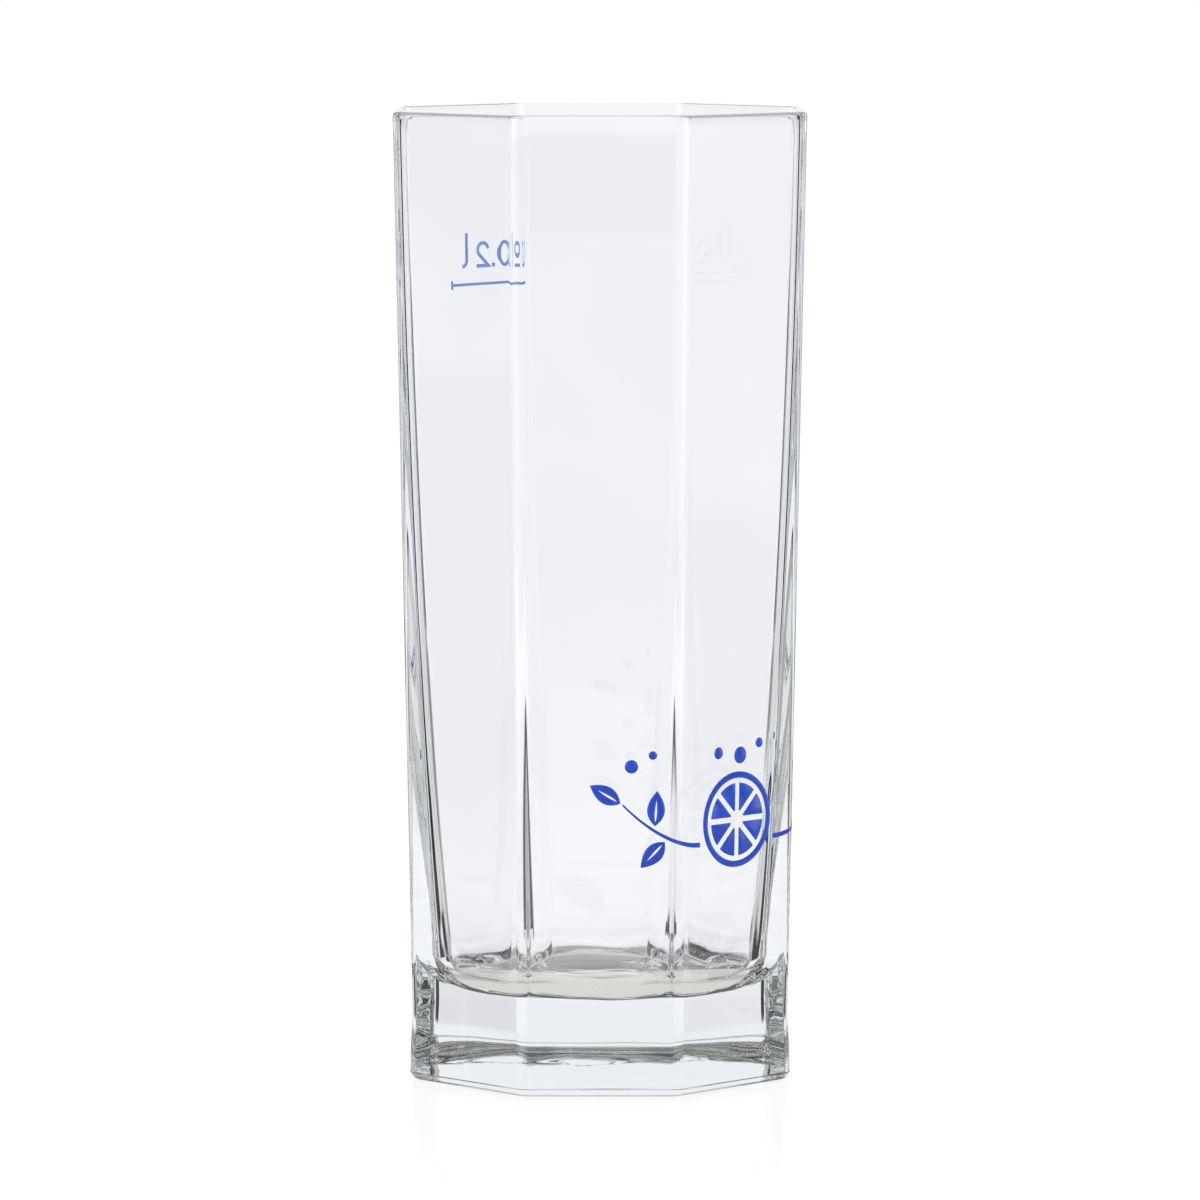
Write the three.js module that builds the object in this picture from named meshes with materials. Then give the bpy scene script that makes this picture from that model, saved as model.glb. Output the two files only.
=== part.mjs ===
// An eight-sided long drink glass: one pressed glass body, a fill mark and a printed fruit design.
// Millimetres, +Z up. The origin is the middle of the foot, and the front facet faces -Y.
import * as THREE from 'three';

// Outside of the glass
const SIDES = 8;
const HEIGHT = 138;
const RIM_WIDTH = 58.5; // across two facets, at the rim
const WAIST_WIDTH = 53.5; // across two facets, just above the heel
const WAIST_RISE = 7; // from the heel's top to the waist
const HEEL_FLARE = 0.25; // how far each heel facet stands out past the waist
const HEEL_BAND = 2.2; // straight part of the heel above its rounding
const HEEL_RADIUS = 1.3;
const OUTER_CORNER = 2.6; // rounding of the eight upright edges

// Underside
const FOOT_RING = 5; // width of the flat ring the glass stands on
const PUNT_DEPTH = 0.9; // hollow in the middle of the underside
const PUNT_CORNER = 12;

// Inside of the glass
const RIM_WALL = 1.5; // just under the lip
const LIP_ROUNDING = 0.7; // of the lip's outer edge
const LIP_SLOPE_DROP = 1.1; // the lip's sloped inner side
const LIP_SLOPE_RUN = 0.28;
const LIP_EDGE_DROP = 0.35; // part of that drop that is rounded off
const LOW_WALL = 6; // wall thickness where the floor rounding begins
const FLOOR_HEIGHT = 12.4;
const FLOOR_DISH = 0.4; // how far the floor's middle lies under its edge
const FLOOR_ROUNDING_RISE = 5;
const FLOOR_ROUNDING_REACH = 6;
const UPPER_LEAN = 0.019; // inward run of the inner wall per unit of drop, below the rim
const LOWER_LEAN = 0.1; // the same, just above the floor rounding
const UPPER_SWEEP = 0.37; // share of the wall's drop that each lean bears on
const LOWER_SWEEP = 0.29;
const INNER_CORNER_TOP = 2.4;
const INNER_CORNER_LOW = 7;
const INNER_CORNER_POWER = 5; // how late the inner edges' rounding grows

// Prints
const INK_GAP = 0.05; // clearance between a print and the glass
const INK_THICKNESS = 0.1;

const FILL_DROP = 26.5; // the fill line's distance under the rim
const FILL_LINE_LENGTH = 12;
const FILL_LINE_WIDTH = 0.4;
const FILL_TICK_HEIGHT = 1.3;
const FILL_MARK_SHIFT = -4.2; // middle of the mark from the middle of its facet
const GLYPH_RISE = 2.4; // foot of the figures above the fill line
const GLYPH_HEIGHT = 3.9;
const GLYPH_WIDTH = 2.6;
const GLYPH_STROKE = 0.52;
const GLYPH_SPACE = 1;
const LITRE_HEIGHT = 5.2;
const LITRE_FOOT = 0.9;

const DESIGN_HEIGHT = 38.5; // middle of the fruit wheel above the foot
const RIND_RADIUS = 6.8;
const RIND_WIDTH = 0.9;
const RIND_TO_SEGMENT = 0.7;
const SEGMENT_COUNT = 8;
const SEGMENT_GAP = 0.8;
const SEGMENT_ROUNDING = 0.7;
const STEM_WIDTH = 0.7;
const STEM_CLEAR = 0.6; // from the rind to the stem's near end
const STEM_REACH = 12; // along the glass, from near end to tip
const STEM_DROP = -3; // the near end's height from the wheel's middle
const STEM_RISE = 6; // of the tip over the near end
const LEAF_LENGTH = 5;
const LEAF_WIDTH = 2.5;
const LEAF_VEIN = 0.3;
const LEAF_CLEAR = 0.35; // from the stem's side to a leaf's foot
// Place along the stem as a share of its reach, and turn from the stem's outward direction in degrees
const LEAVES = [
  { along: 0.46, turn: -72 },
  { along: 0.62, turn: 62 },
  { along: 1, turn: -14 },
];
// Facet from the wheel's own, place from its middle, height over the wheel's middle, radius
const BUBBLES = [
  { facet: 0, across: -3.9, up: 9.7, radius: 0.85 },
  { facet: 0, across: 0.5, up: 9.1, radius: 1.2 },
  { facet: 0, across: 4.3, up: 10.6, radius: 0.7 },
  { facet: -1, across: 4.4, up: 8.4, radius: 0.95 },
  { facet: -1, across: 7.4, up: 10, radius: 0.6 },
  { facet: 1, across: -4.9, up: 8.8, radius: 0.8 },
  { facet: 1, across: -7.8, up: 10.2, radius: 0.55 },
];

// Fineness
const CORNER_STEPS = 6;
const HEEL_STEPS = 4;
const LIP_STEPS = 5;
const WALL_STEPS = 10;
const FLOOR_STEPS = 6;
const CURVE_STEPS = 8;
const CIRCLE_STEPS = 28;
const STEM_STEPS = 36;

const HALF_SIDE = Math.PI / SIDES;
const FRONT_ANGLE = -Math.PI / 2;
const DESIGN_FACET = 1;
const FILL_FACET = 5;
const RIM_INRADIUS = RIM_WIDTH / 2;
const WAIST_INRADIUS = WAIST_WIDTH / 2;
const HEEL_INRADIUS = WAIST_INRADIUS + HEEL_FLARE;
const HEEL_TOP = HEEL_RADIUS + HEEL_BAND;
const WAIST_HEIGHT = HEEL_TOP + WAIST_RISE;
const WALL_TOP = HEIGHT - LIP_ROUNDING;
const FILL_HEIGHT = HEIGHT - FILL_DROP;
const FLOOR_EDGE = FLOOR_HEIGHT + FLOOR_DISH;
const LOW_HEIGHT = FLOOR_EDGE + FLOOR_ROUNDING_RISE;

// Distance of the facets from the axis at a height on the straight tapered wall.
function wallInradius(height) {
  const share = (height - WAIST_HEIGHT) / (WALL_TOP - WAIST_HEIGHT);
  return WAIST_INRADIUS + (RIM_INRADIUS - WAIST_INRADIUS) * share;
}

// A level of the glass: the facets' distance from the axis, the height and the rounding of its corners.
function level(inradius, height, corner) {
  return { inradius, height, corner: Math.min(corner, inradius) };
}

// The points of one level, counter-clockwise from above, beginning at a corner.
function ringPoints({ inradius, height, corner }) {
  const points = [];
  const reach = (inradius - corner) / Math.cos(HALF_SIDE);
  for (let side = 0; side < SIDES; side += 1) {
    const heading = FRONT_ANGLE + HALF_SIDE * (2 * side + 1);
    for (let step = 0; step <= CORNER_STEPS; step += 1) {
      const angle = heading + HALF_SIDE * ((2 * step) / CORNER_STEPS - 1);
      const x = reach * Math.cos(heading) + corner * Math.cos(angle);
      const y = reach * Math.sin(heading) + corner * Math.sin(angle);
      points.push(new THREE.Vector3(x, y, height));
    }
  }
  return points;
}

// A closed skin through the levels, with a point on the axis at each end.
function loft(firstHeight, levels, lastHeight) {
  const rings = levels.map(ringPoints);
  const count = rings[0].length;
  const points = [new THREE.Vector3(0, 0, firstHeight), ...rings.flat(), new THREE.Vector3(0, 0, lastHeight)];
  const last = points.length - 1;
  const at = (ring, place) => 1 + ring * count + (place % count);
  const index = [];
  for (let place = 0; place < count; place += 1) {
    index.push(0, at(0, place + 1), at(0, place));
    for (let ring = 0; ring + 1 < rings.length; ring += 1) {
      index.push(at(ring, place), at(ring, place + 1), at(ring + 1, place + 1));
      index.push(at(ring, place), at(ring + 1, place + 1), at(ring + 1, place));
    }
    index.push(last, at(rings.length - 1, place), at(rings.length - 1, place + 1));
  }
  const geometry = new THREE.BufferGeometry().setFromPoints(points);
  geometry.setIndex(index);
  geometry.computeVertexNormals();
  return geometry;
}

function underside() {
  const ringOut = HEEL_INRADIUS - HEEL_RADIUS;
  const ringIn = ringOut - FOOT_RING;
  const dome = new THREE.QuadraticBezierCurve(
    new THREE.Vector2(0, PUNT_DEPTH),
    new THREE.Vector2(ringIn / 2, PUNT_DEPTH),
    new THREE.Vector2(ringIn, 0),
  );
  const levels = dome.getPoints(FLOOR_STEPS).slice(1).map((p) => level(p.x, p.y, PUNT_CORNER));
  const heel = new THREE.EllipseCurve(ringOut, HEEL_RADIUS, HEEL_RADIUS, HEEL_RADIUS, -Math.PI / 2, 0);
  for (const p of heel.getPoints(HEEL_STEPS)) {
    levels.push(level(p.x, p.y, OUTER_CORNER - (HEEL_INRADIUS - p.x)));
  }
  return levels;
}

function outerWall() {
  const flare = new THREE.CubicBezierCurve(
    new THREE.Vector2(HEEL_INRADIUS, HEEL_TOP),
    new THREE.Vector2(HEEL_INRADIUS, HEEL_TOP + WAIST_RISE / 2),
    new THREE.Vector2(wallInradius(WAIST_HEIGHT - WAIST_RISE / 2), WAIST_HEIGHT - WAIST_RISE / 2),
    new THREE.Vector2(WAIST_INRADIUS, WAIST_HEIGHT),
  );
  const levels = flare.getPoints(CURVE_STEPS / 2).map((p) => level(p.x, p.y, OUTER_CORNER));
  levels.push(level(RIM_INRADIUS, WALL_TOP, OUTER_CORNER));
  return levels;
}

// The lip: a round outer edge and a slope down its inner side.
function lip() {
  const crest = RIM_INRADIUS - LIP_ROUNDING;
  const foot = RIM_INRADIUS - RIM_WALL;
  const outer = new THREE.EllipseCurve(crest, WALL_TOP, LIP_ROUNDING, LIP_ROUNDING, 0, Math.PI / 2);
  const inner = new THREE.QuadraticBezierCurve(
    new THREE.Vector2(crest, HEIGHT),
    new THREE.Vector2(foot + LIP_SLOPE_RUN, HEIGHT),
    new THREE.Vector2(foot + LIP_SLOPE_RUN * (1 - LIP_EDGE_DROP / LIP_SLOPE_DROP), HEIGHT - LIP_EDGE_DROP),
  );
  const points = [
    ...outer.getPoints(LIP_STEPS).slice(1),
    ...inner.getPoints(LIP_STEPS).slice(1),
    new THREE.Vector2(foot, HEIGHT - LIP_SLOPE_DROP),
  ];
  return points.map((p) => {
    const inward = (RIM_INRADIUS - p.x) / RIM_WALL;
    return level(p.x, p.y, THREE.MathUtils.lerp(OUTER_CORNER, INNER_CORNER_TOP, inward));
  });
}

function inside() {
  const top = new THREE.Vector2(RIM_INRADIUS - RIM_WALL, HEIGHT - LIP_SLOPE_DROP);
  const low = new THREE.Vector2(wallInradius(LOW_HEIGHT) - LOW_WALL, LOW_HEIGHT);
  const drop = top.y - low.y;
  const wall = new THREE.CubicBezierCurve(
    top,
    new THREE.Vector2(top.x - UPPER_LEAN * UPPER_SWEEP * drop, top.y - UPPER_SWEEP * drop),
    new THREE.Vector2(low.x + LOWER_LEAN * LOWER_SWEEP * drop, low.y + LOWER_SWEEP * drop),
    low,
  );
  const levels = wall.getPoints(WALL_STEPS).slice(1).map((p) => {
    const growth = ((top.y - p.y) / drop) ** INNER_CORNER_POWER;
    return level(p.x, p.y, THREE.MathUtils.lerp(INNER_CORNER_TOP, INNER_CORNER_LOW, growth));
  });
  const edge = new THREE.Vector2(low.x - FLOOR_ROUNDING_REACH, FLOOR_EDGE);
  const rounding = new THREE.CubicBezierCurve(
    low,
    new THREE.Vector2(low.x - LOWER_LEAN * FLOOR_ROUNDING_RISE * 0.6, low.y - FLOOR_ROUNDING_RISE * 0.6),
    new THREE.Vector2(edge.x + FLOOR_ROUNDING_REACH * 0.6, edge.y),
    edge,
  );
  for (const p of rounding.getPoints(FLOOR_STEPS).slice(1)) {
    const fall = (low.y - p.y) / FLOOR_ROUNDING_RISE;
    levels.push(level(p.x, p.y, THREE.MathUtils.lerp(INNER_CORNER_LOW, edge.x, fall * fall)));
  }
  const dish = new THREE.QuadraticBezierCurve(
    edge,
    new THREE.Vector2(edge.x / 2, FLOOR_HEIGHT),
    new THREE.Vector2(0, FLOOR_HEIGHT),
  );
  for (const p of dish.getPoints(3).slice(1, -1)) {
    levels.push(level(p.x, p.y, p.x));
  }
  return levels;
}

const glass = new THREE.MeshStandardMaterial({
  color: 0xe6ecec,
  roughness: 0.03,
  metalness: 0,
  transparent: true,
  opacity: 0.35,
});
const ink = new THREE.MeshStandardMaterial({ color: 0x1c46b8, roughness: 0.35, metalness: 0 });

function named(name, geometry, material) {
  const mesh = new THREE.Mesh(geometry, material.clone());
  mesh.name = name;
  return mesh;
}

// A group lying on a facet: X to the right as seen from outside, Y up the facet, Z out of the glass.
function facetGroup(facet, height) {
  const angle = FRONT_ANGLE + 2 * HALF_SIDE * facet;
  const facing = new THREE.Vector3(Math.cos(angle), Math.sin(angle), 0);
  const up = facing.clone().multiplyScalar(wallInradius(1) - wallInradius(0)).setZ(1).normalize();
  const right = new THREE.Vector3(-facing.y, facing.x, 0);
  const out = new THREE.Vector3().crossVectors(right, up);
  const group = new THREE.Group();
  group.quaternion.setFromRotationMatrix(new THREE.Matrix4().makeBasis(right, up, out));
  group.position.copy(facing).multiplyScalar(wallInradius(height)).setZ(height);
  return group;
}

function print(name, shape) {
  const geometry = new THREE.ExtrudeGeometry(shape, {
    depth: INK_THICKNESS,
    bevelEnabled: false,
    curveSegments: CURVE_STEPS,
  });
  const mesh = named(name, geometry, ink);
  mesh.position.z = INK_GAP;
  return mesh;
}

// The outline of a pen stroke of even width along a line of points.
function strokeShape(points, width) {
  const left = [];
  const right = [];
  points.forEach((point, i) => {
    const before = points[Math.max(i - 1, 0)];
    const after = points[Math.min(i + 1, points.length - 1)];
    const into = point.clone().sub(before).normalize();
    const onward = after.clone().sub(point).normalize();
    const along = into.clone().add(onward).normalize();
    const across = new THREE.Vector2(-along.y, along.x);
    const lean = i === 0 ? along.dot(onward) : along.dot(into);
    const half = width / 2 / lean;
    left.push(point.clone().addScaledVector(across, half));
    right.push(point.clone().addScaledVector(across, -half));
  });
  return new THREE.Shape([...right, ...left.reverse()]);
}

function ringShape(outerX, outerY, innerX, innerY) {
  const around = (x, y) => new THREE.EllipseCurve(0, 0, x, y).getPoints(CIRCLE_STEPS).slice(0, -1);
  const shape = new THREE.Shape(around(outerX, outerY));
  shape.holes.push(new THREE.Path(around(innerX, innerY)));
  return shape;
}

function discShape(radius) {
  return new THREE.Shape(new THREE.EllipseCurve(0, 0, radius, radius).getPoints(CIRCLE_STEPS).slice(0, -1));
}

function fillMark() {
  const group = facetGroup(FILL_FACET, FILL_HEIGHT);
  const half = FILL_LINE_LENGTH / 2;
  const tick = FILL_TICK_HEIGHT / 2;
  const pen = FILL_LINE_WIDTH / 2;
  const quarter = [
    new THREE.Vector2(half - 2 * pen, pen),
    new THREE.Vector2(half - 2 * pen, tick),
    new THREE.Vector2(half, tick),
  ];
  const mirror = (points, x, y) => points.map((p) => new THREE.Vector2(x * p.x, y * p.y));
  const line = new THREE.Shape([
    ...mirror(quarter, 1, -1),
    ...mirror(quarter, 1, 1).reverse(),
    ...mirror(quarter, -1, 1),
    ...mirror(quarter, -1, -1).reverse(),
  ]);
  const fillLine = print('fill_line', line);
  fillLine.position.x = FILL_MARK_SHIFT;
  group.add(fillLine);

  const start = FILL_MARK_SHIFT - half;
  const wide = GLYPH_WIDTH / 2;
  const tall = GLYPH_HEIGHT / 2;
  const zero = print('figure_zero', ringShape(wide, tall, wide - GLYPH_STROKE, tall - GLYPH_STROKE));
  zero.position.x = start + wide;
  zero.position.y = GLYPH_RISE + tall;

  const point = print('figure_point', discShape(GLYPH_STROKE * 0.62));
  point.position.x = start + GLYPH_WIDTH + GLYPH_SPACE * 0.8;
  point.position.y = GLYPH_RISE + GLYPH_STROKE * 0.62;

  const bow = wide - GLYPH_STROKE / 2;
  const sweep = new THREE.EllipseCurve(wide, GLYPH_HEIGHT - wide, bow, bow, Math.PI * 0.95, -Math.PI * 0.18, true);
  const base = GLYPH_STROKE / 2;
  const two = print('figure_two', strokeShape([
    ...sweep.getPoints(CURVE_STEPS + 2),
    new THREE.Vector2(base, base),
    new THREE.Vector2(GLYPH_WIDTH, base),
  ], GLYPH_STROKE));
  two.position.x = point.position.x + GLYPH_SPACE * 0.8;
  two.position.y = GLYPH_RISE;

  const hook = new THREE.EllipseCurve(LITRE_FOOT, LITRE_FOOT + base, LITRE_FOOT, LITRE_FOOT, Math.PI, 1.5 * Math.PI);
  const litre = print('litre_letter', strokeShape([
    new THREE.Vector2(0, LITRE_HEIGHT),
    ...hook.getPoints(CURVE_STEPS),
  ], GLYPH_STROKE));
  litre.position.x = two.position.x + GLYPH_WIDTH + 2 * GLYPH_SPACE;
  litre.position.y = GLYPH_RISE;
  group.add(zero, point, two, litre);
  return group;
}

// One wedge of the fruit, pointing along +X from the wheel's middle.
function segmentShape() {
  const outer = RIND_RADIUS - RIND_WIDTH - RIND_TO_SEGMENT;
  const halfAngle = Math.PI / SEGMENT_COUNT;
  const tip = new THREE.Vector2(SEGMENT_GAP / 2 / Math.sin(halfAngle), 0);
  const spread = halfAngle - Math.asin(SEGMENT_GAP / 2 / outer);
  const turn = SEGMENT_ROUNDING / outer;
  const polar = (angle, radius) => new THREE.Vector2(radius * Math.cos(angle), radius * Math.sin(angle));
  const low = polar(-spread, outer);
  const high = polar(spread, outer);
  const side = tip.distanceTo(low);
  const lowStart = low.clone().lerp(tip, SEGMENT_ROUNDING / side);
  const highEnd = high.clone().lerp(tip, SEGMENT_ROUNDING / side);
  const lowEnd = polar(turn - spread, outer);
  const shape = new THREE.Shape();
  shape.moveTo(tip.x, tip.y);
  shape.lineTo(lowStart.x, lowStart.y);
  shape.quadraticCurveTo(low.x, low.y, lowEnd.x, lowEnd.y);
  shape.absarc(0, 0, outer, turn - spread, spread - turn, false);
  shape.quadraticCurveTo(high.x, high.y, highEnd.x, highEnd.y);
  shape.lineTo(tip.x, tip.y);
  return shape;
}

// A pointed leaf along +X from its foot, with a slit for its vein.
function leafShape() {
  const half = LEAF_WIDTH; // a quadratic curve reaches half as far as its handle
  const vein = LEAF_VEIN;
  const shape = new THREE.Shape();
  shape.moveTo(0, 0);
  shape.quadraticCurveTo(LEAF_LENGTH * 0.4, -half, LEAF_LENGTH, 0);
  shape.quadraticCurveTo(LEAF_LENGTH * 0.4, half, 0, 0);
  const slit = new THREE.Path();
  slit.moveTo(LEAF_LENGTH * 0.12, 0);
  slit.quadraticCurveTo(LEAF_LENGTH * 0.3, vein, LEAF_LENGTH * 0.74, 0);
  slit.quadraticCurveTo(LEAF_LENGTH * 0.3, -vein, LEAF_LENGTH * 0.12, 0);
  shape.holes.push(slit);
  return shape;
}

// Lengths around the glass at a height, from the middle of one facet to the middle of the next.
function girth(height) {
  const flat = (wallInradius(height) - OUTER_CORNER) * Math.tan(HALF_SIDE);
  return { flat, pitch: 2 * flat + 2 * HALF_SIDE * OUTER_CORNER };
}

// A point on the outside of the glass, by the way around from the middle of the design's facet.
function skinPoint(around, height, lift) {
  const { flat, pitch } = girth(height);
  const facet = Math.round(around / pitch);
  const local = around - facet * pitch;
  const sign = Math.sign(local);
  const bend = Math.max(Math.abs(local) - flat, 0) / OUTER_CORNER;
  const angle = FRONT_ANGLE + 2 * HALF_SIDE * (DESIGN_FACET + facet);
  const facing = new THREE.Vector3(Math.cos(angle), Math.sin(angle), 0);
  const right = new THREE.Vector3(-facing.y, facing.x, 0);
  const aim = facing.clone().multiplyScalar(Math.cos(bend)).addScaledVector(right, sign * Math.sin(bend));
  const point = facing.clone().multiplyScalar(wallInradius(height) - OUTER_CORNER);
  point.addScaledVector(right, sign * Math.min(Math.abs(local), flat));
  return point.addScaledVector(aim, OUTER_CORNER + lift).setZ(height);
}

// The stem's middle line: share of its reach to the way around (on the right) and the height.
function stemPoint(share) {
  const around = RIND_RADIUS + STEM_CLEAR + STEM_REACH * share;
  return { around, height: DESIGN_HEIGHT + STEM_DROP + STEM_RISE * share * share };
}

// A printed stem from the wheel around the glass's edge, to the right (hand 1) or left (hand -1).
function stem(name, hand) {
  const points = [];
  for (let step = 0; step <= STEM_STEPS; step += 1) {
    const { around, height } = stemPoint(step / STEM_STEPS);
    const half = (STEM_WIDTH / 2) * (1 - 0.5 * (step / STEM_STEPS));
    for (const [up, lift] of [[-half, INK_GAP], [-half, INK_GAP + INK_THICKNESS],
      [half, INK_GAP + INK_THICKNESS], [half, INK_GAP]]) {
      points.push(skinPoint(hand * around, height + up, lift));
    }
  }
  const index = [];
  const quad = (a, b, c, d) => (hand > 0 ? index.push(a, b, c, a, c, d) : index.push(a, c, b, a, d, c));
  const corners = 4;
  for (let step = 0; step < STEM_STEPS; step += 1) {
    for (let k = 0; k < corners; k += 1) {
      const here = step * corners;
      const next = (k + 1) % corners;
      quad(here + k, here + corners + k, here + corners + next, here + next);
    }
  }
  const end = STEM_STEPS * corners;
  quad(0, 1, 2, 3);
  quad(end + 3, end + 2, end + 1, end);
  const geometry = new THREE.BufferGeometry().setFromPoints(points);
  geometry.setIndex(index);
  geometry.computeVertexNormals();
  return named(name, geometry, ink);
}

function fruitDesign() {
  const facets = [-1, 0, 1].map((step) => facetGroup(DESIGN_FACET + step, DESIGN_HEIGHT));
  const onFacet = (step) => facets[step + 1];
  const inner = RIND_RADIUS - RIND_WIDTH;
  onFacet(0).add(print('fruit_rind', ringShape(RIND_RADIUS, RIND_RADIUS, inner, inner)));
  for (let i = 0; i < SEGMENT_COUNT; i += 1) {
    const segment = print(`fruit_segment_${i + 1}`, segmentShape());
    segment.rotation.z = ((i + 0.5) * 2 * Math.PI) / SEGMENT_COUNT;
    onFacet(0).add(segment);
  }
  for (const [side, hand] of [['left', -1], ['right', 1]]) {
    LEAVES.forEach(({ along, turn }, i) => {
      const foot = stemPoint(along);
      const local = foot.around - girth(foot.height).pitch;
      const slope = Math.atan2(2 * STEM_RISE * along, STEM_REACH);
      const heading = slope + THREE.MathUtils.degToRad(turn);
      const off = along < 1 ? STEM_WIDTH / 2 + LEAF_CLEAR : LEAF_CLEAR;
      const leaf = print(`${side}_leaf_${i + 1}`, leafShape());
      leaf.position.x = hand * (local + off * Math.cos(heading));
      leaf.position.y = foot.height - DESIGN_HEIGHT + off * Math.sin(heading);
      leaf.rotation.z = hand > 0 ? heading : Math.PI - heading;
      onFacet(hand).add(leaf);
    });
  }
  BUBBLES.forEach(({ facet, across, up, radius }, i) => {
    const bubble = print(`bubble_${i + 1}`, discShape(radius));
    bubble.position.x = across;
    bubble.position.y = up;
    onFacet(facet).add(bubble);
  });
  return [...facets, stem('left_stem', -1), stem('right_stem', 1)];
}

const tumbler = new THREE.Group();
tumbler.name = 'long_drink_glass';
const levels = [...underside(), ...outerWall(), ...lip(), ...inside()];
tumbler.add(named('glass_body', loft(PUNT_DEPTH, levels, FLOOR_HEIGHT), glass));
tumbler.add(fillMark(), ...fruitDesign());

export default tumbler;
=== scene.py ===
"""An eight-sided long drink glass with a fill mark and a printed fruit design, over its solid model."""

import math

import bmesh
import bpy
from mathutils import Matrix, Vector


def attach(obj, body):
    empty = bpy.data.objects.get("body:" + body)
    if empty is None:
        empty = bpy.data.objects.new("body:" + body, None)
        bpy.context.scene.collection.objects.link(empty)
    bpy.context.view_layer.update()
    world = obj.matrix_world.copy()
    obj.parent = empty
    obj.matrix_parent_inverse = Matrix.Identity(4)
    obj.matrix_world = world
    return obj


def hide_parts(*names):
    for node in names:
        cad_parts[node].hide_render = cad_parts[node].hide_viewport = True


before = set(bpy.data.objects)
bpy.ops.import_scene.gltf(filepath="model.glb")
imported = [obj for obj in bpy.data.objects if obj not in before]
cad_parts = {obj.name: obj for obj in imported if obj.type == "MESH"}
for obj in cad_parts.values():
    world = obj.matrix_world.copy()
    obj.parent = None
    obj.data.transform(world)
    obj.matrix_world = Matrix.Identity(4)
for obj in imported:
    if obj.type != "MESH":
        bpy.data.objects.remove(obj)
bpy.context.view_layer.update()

bl_info = {
    "name": "Long Drink Glass",
    "version": (1, 0, 0),
    "blender": (4, 5, 0),
    "location": "View3D > Sidebar > Drink Glass",
    "description": "Models an eight-sided tumbler with a fill mark and a printed fruit design",
    "category": "Add Mesh",
}

MM = 0.001
SIDES = 8
HALF_SIDE = math.pi / SIDES
FRONT_ANGLE = -math.pi / 2
DESIGN_FACET = 1
FILL_FACET = 5
WELD = 0.002 * MM
FINE_WELD = WELD / 10
SMOOTH_ANGLE = math.radians(50)

# Steps along the curves of the glass, and then of the prints
HOLLOW_STEPS = 16
RING_STEPS = 6
HEEL_STEPS = 8
FLARE_STEPS = 10
WALL_STEPS = 30
LIP_STEPS = 12
INNER_WALL_STEPS = 60
ROUNDING_STEPS = 24
FLOOR_STEPS = 14
ROUND_STEPS = 64
STEM_STEPS = 40
LEAF_STEPS = 18
BOW_STEPS = 20
CURL_STEPS = 12
SEGMENT_CORNER_STEPS = 6

# The glass: the pull of the floor rounding's handles, the roundest corner that leaves a flat, how far an
# edge's middle may stray from its facet's middle, and how the base's waves show outside and fade underneath
ROUNDING_PULL = 0.6
FULLEST_CORNER = 0.96
MIDDLE_SLACK = 0.01
HEEL_WAVES = 0.25
HOLLOW_FADE = 4
# The prints: shares of a stroke, a space, a stem's width and a leaf's length, and turns as shares of half a
# circle; a corner is where two edges don't run straight on
POINT_RADIUS = 0.62
POINT_SPACE = 0.8
BOW_TURN = (0.95, -0.18)
CURL_TURN = (1, 1.5)
STRAIGHT_ON = -0.9
STEM_TAPER = 0.5
LEAF_BULGE = 0.4
VEIN_START = 0.12
VEIN_BULGE = 0.3
VEIN_END = 0.74

# Clear glass
GLASS_IOR = 1.52
CLOUD_SCALE = 45
CLOUD_LIMITS = (0.35, 0.65)
SPECK_SPACING = 13 * MM
SPECK_RADIUS = 0.11 * MM
SPECK_CORE = 0.6
SPECK_SHARE = 0.3
SPECK_SHADE = (0.3, 0.3, 0.32, 1)
SCUFF_SCALE = 900
SCUFF_DETAIL = 4
SCUFF_LIMITS = (0.5, 0.7)
SCUFF_HEIGHT = (0.12 * MM, 0.04 * MM)
SCUFF_ROUGHNESS = 0.16
# Enamel: clouds as a scale and a detail, and the limits between which they show
DEEP_CLOUDS = (420, 4)
DEEP_LIMITS = (0.3, 0.7)
DEEP_SHARE = 0.85
THIN_CLOUDS = (5200, 1)
THIN_LIMITS = (0.7, 0.78)
THIN_SHARE = 0.16
GLOSS_CLOUDS = (900, 2)
GLOSS_SPREAD = 0.2
GLOSS_LEAST = 0.18
SKIN_CLOUDS = (2600, 1)
SKIN_STRENGTH = 0.25
SKIN_DEPTH = 0.02 * MM
# How much of a cool grey's extra blue its green takes too
COOL_GREEN = 0.2


def grey(level, cool=1.0):
    """A grey, or a cool one whose blue is raised."""
    return (level, level * (1 + COOL_GREEN * (cool - 1)), level * cool, 1)


def stops(*runs):
    """Stops for shades that hold from one heading to another or stand at one, with blends between them."""
    return tuple((degrees, shade) for *edges, shade in runs for degrees in edges)


def mirrored(*runs):
    """Stops on both sides of the middle, from runs on one side."""
    half = stops(*runs)
    return tuple((-degrees, shade) for degrees, shade in reversed(half) if degrees) + half


WHITE = grey(1)
BACKDROP = (0.985, 0.995, 1.04, 1)
FAR_FLOOR = (0.958, 0.968, 1.01, 1)
STRIP = (1.05, 1.055, 1.09, 1)
LEFT_FLANK = (0.93, 0.93, 0.965, 1)
RIGHT_FLANK = (0.855, 0.855, 0.885, 1)
PALE = grey(0.85)
FAINT_LINE = grey(0.4)
DIM = grey(0.03)
DARK = grey(0.012)
AMBER = (0.95, 0.7, 0.36, 1)
LEFT_SIDE = ((-180, grey(0.5)), (-90, grey(0.45)))
RIGHT_SIDE = ((180, grey(0.55)),)
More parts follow.
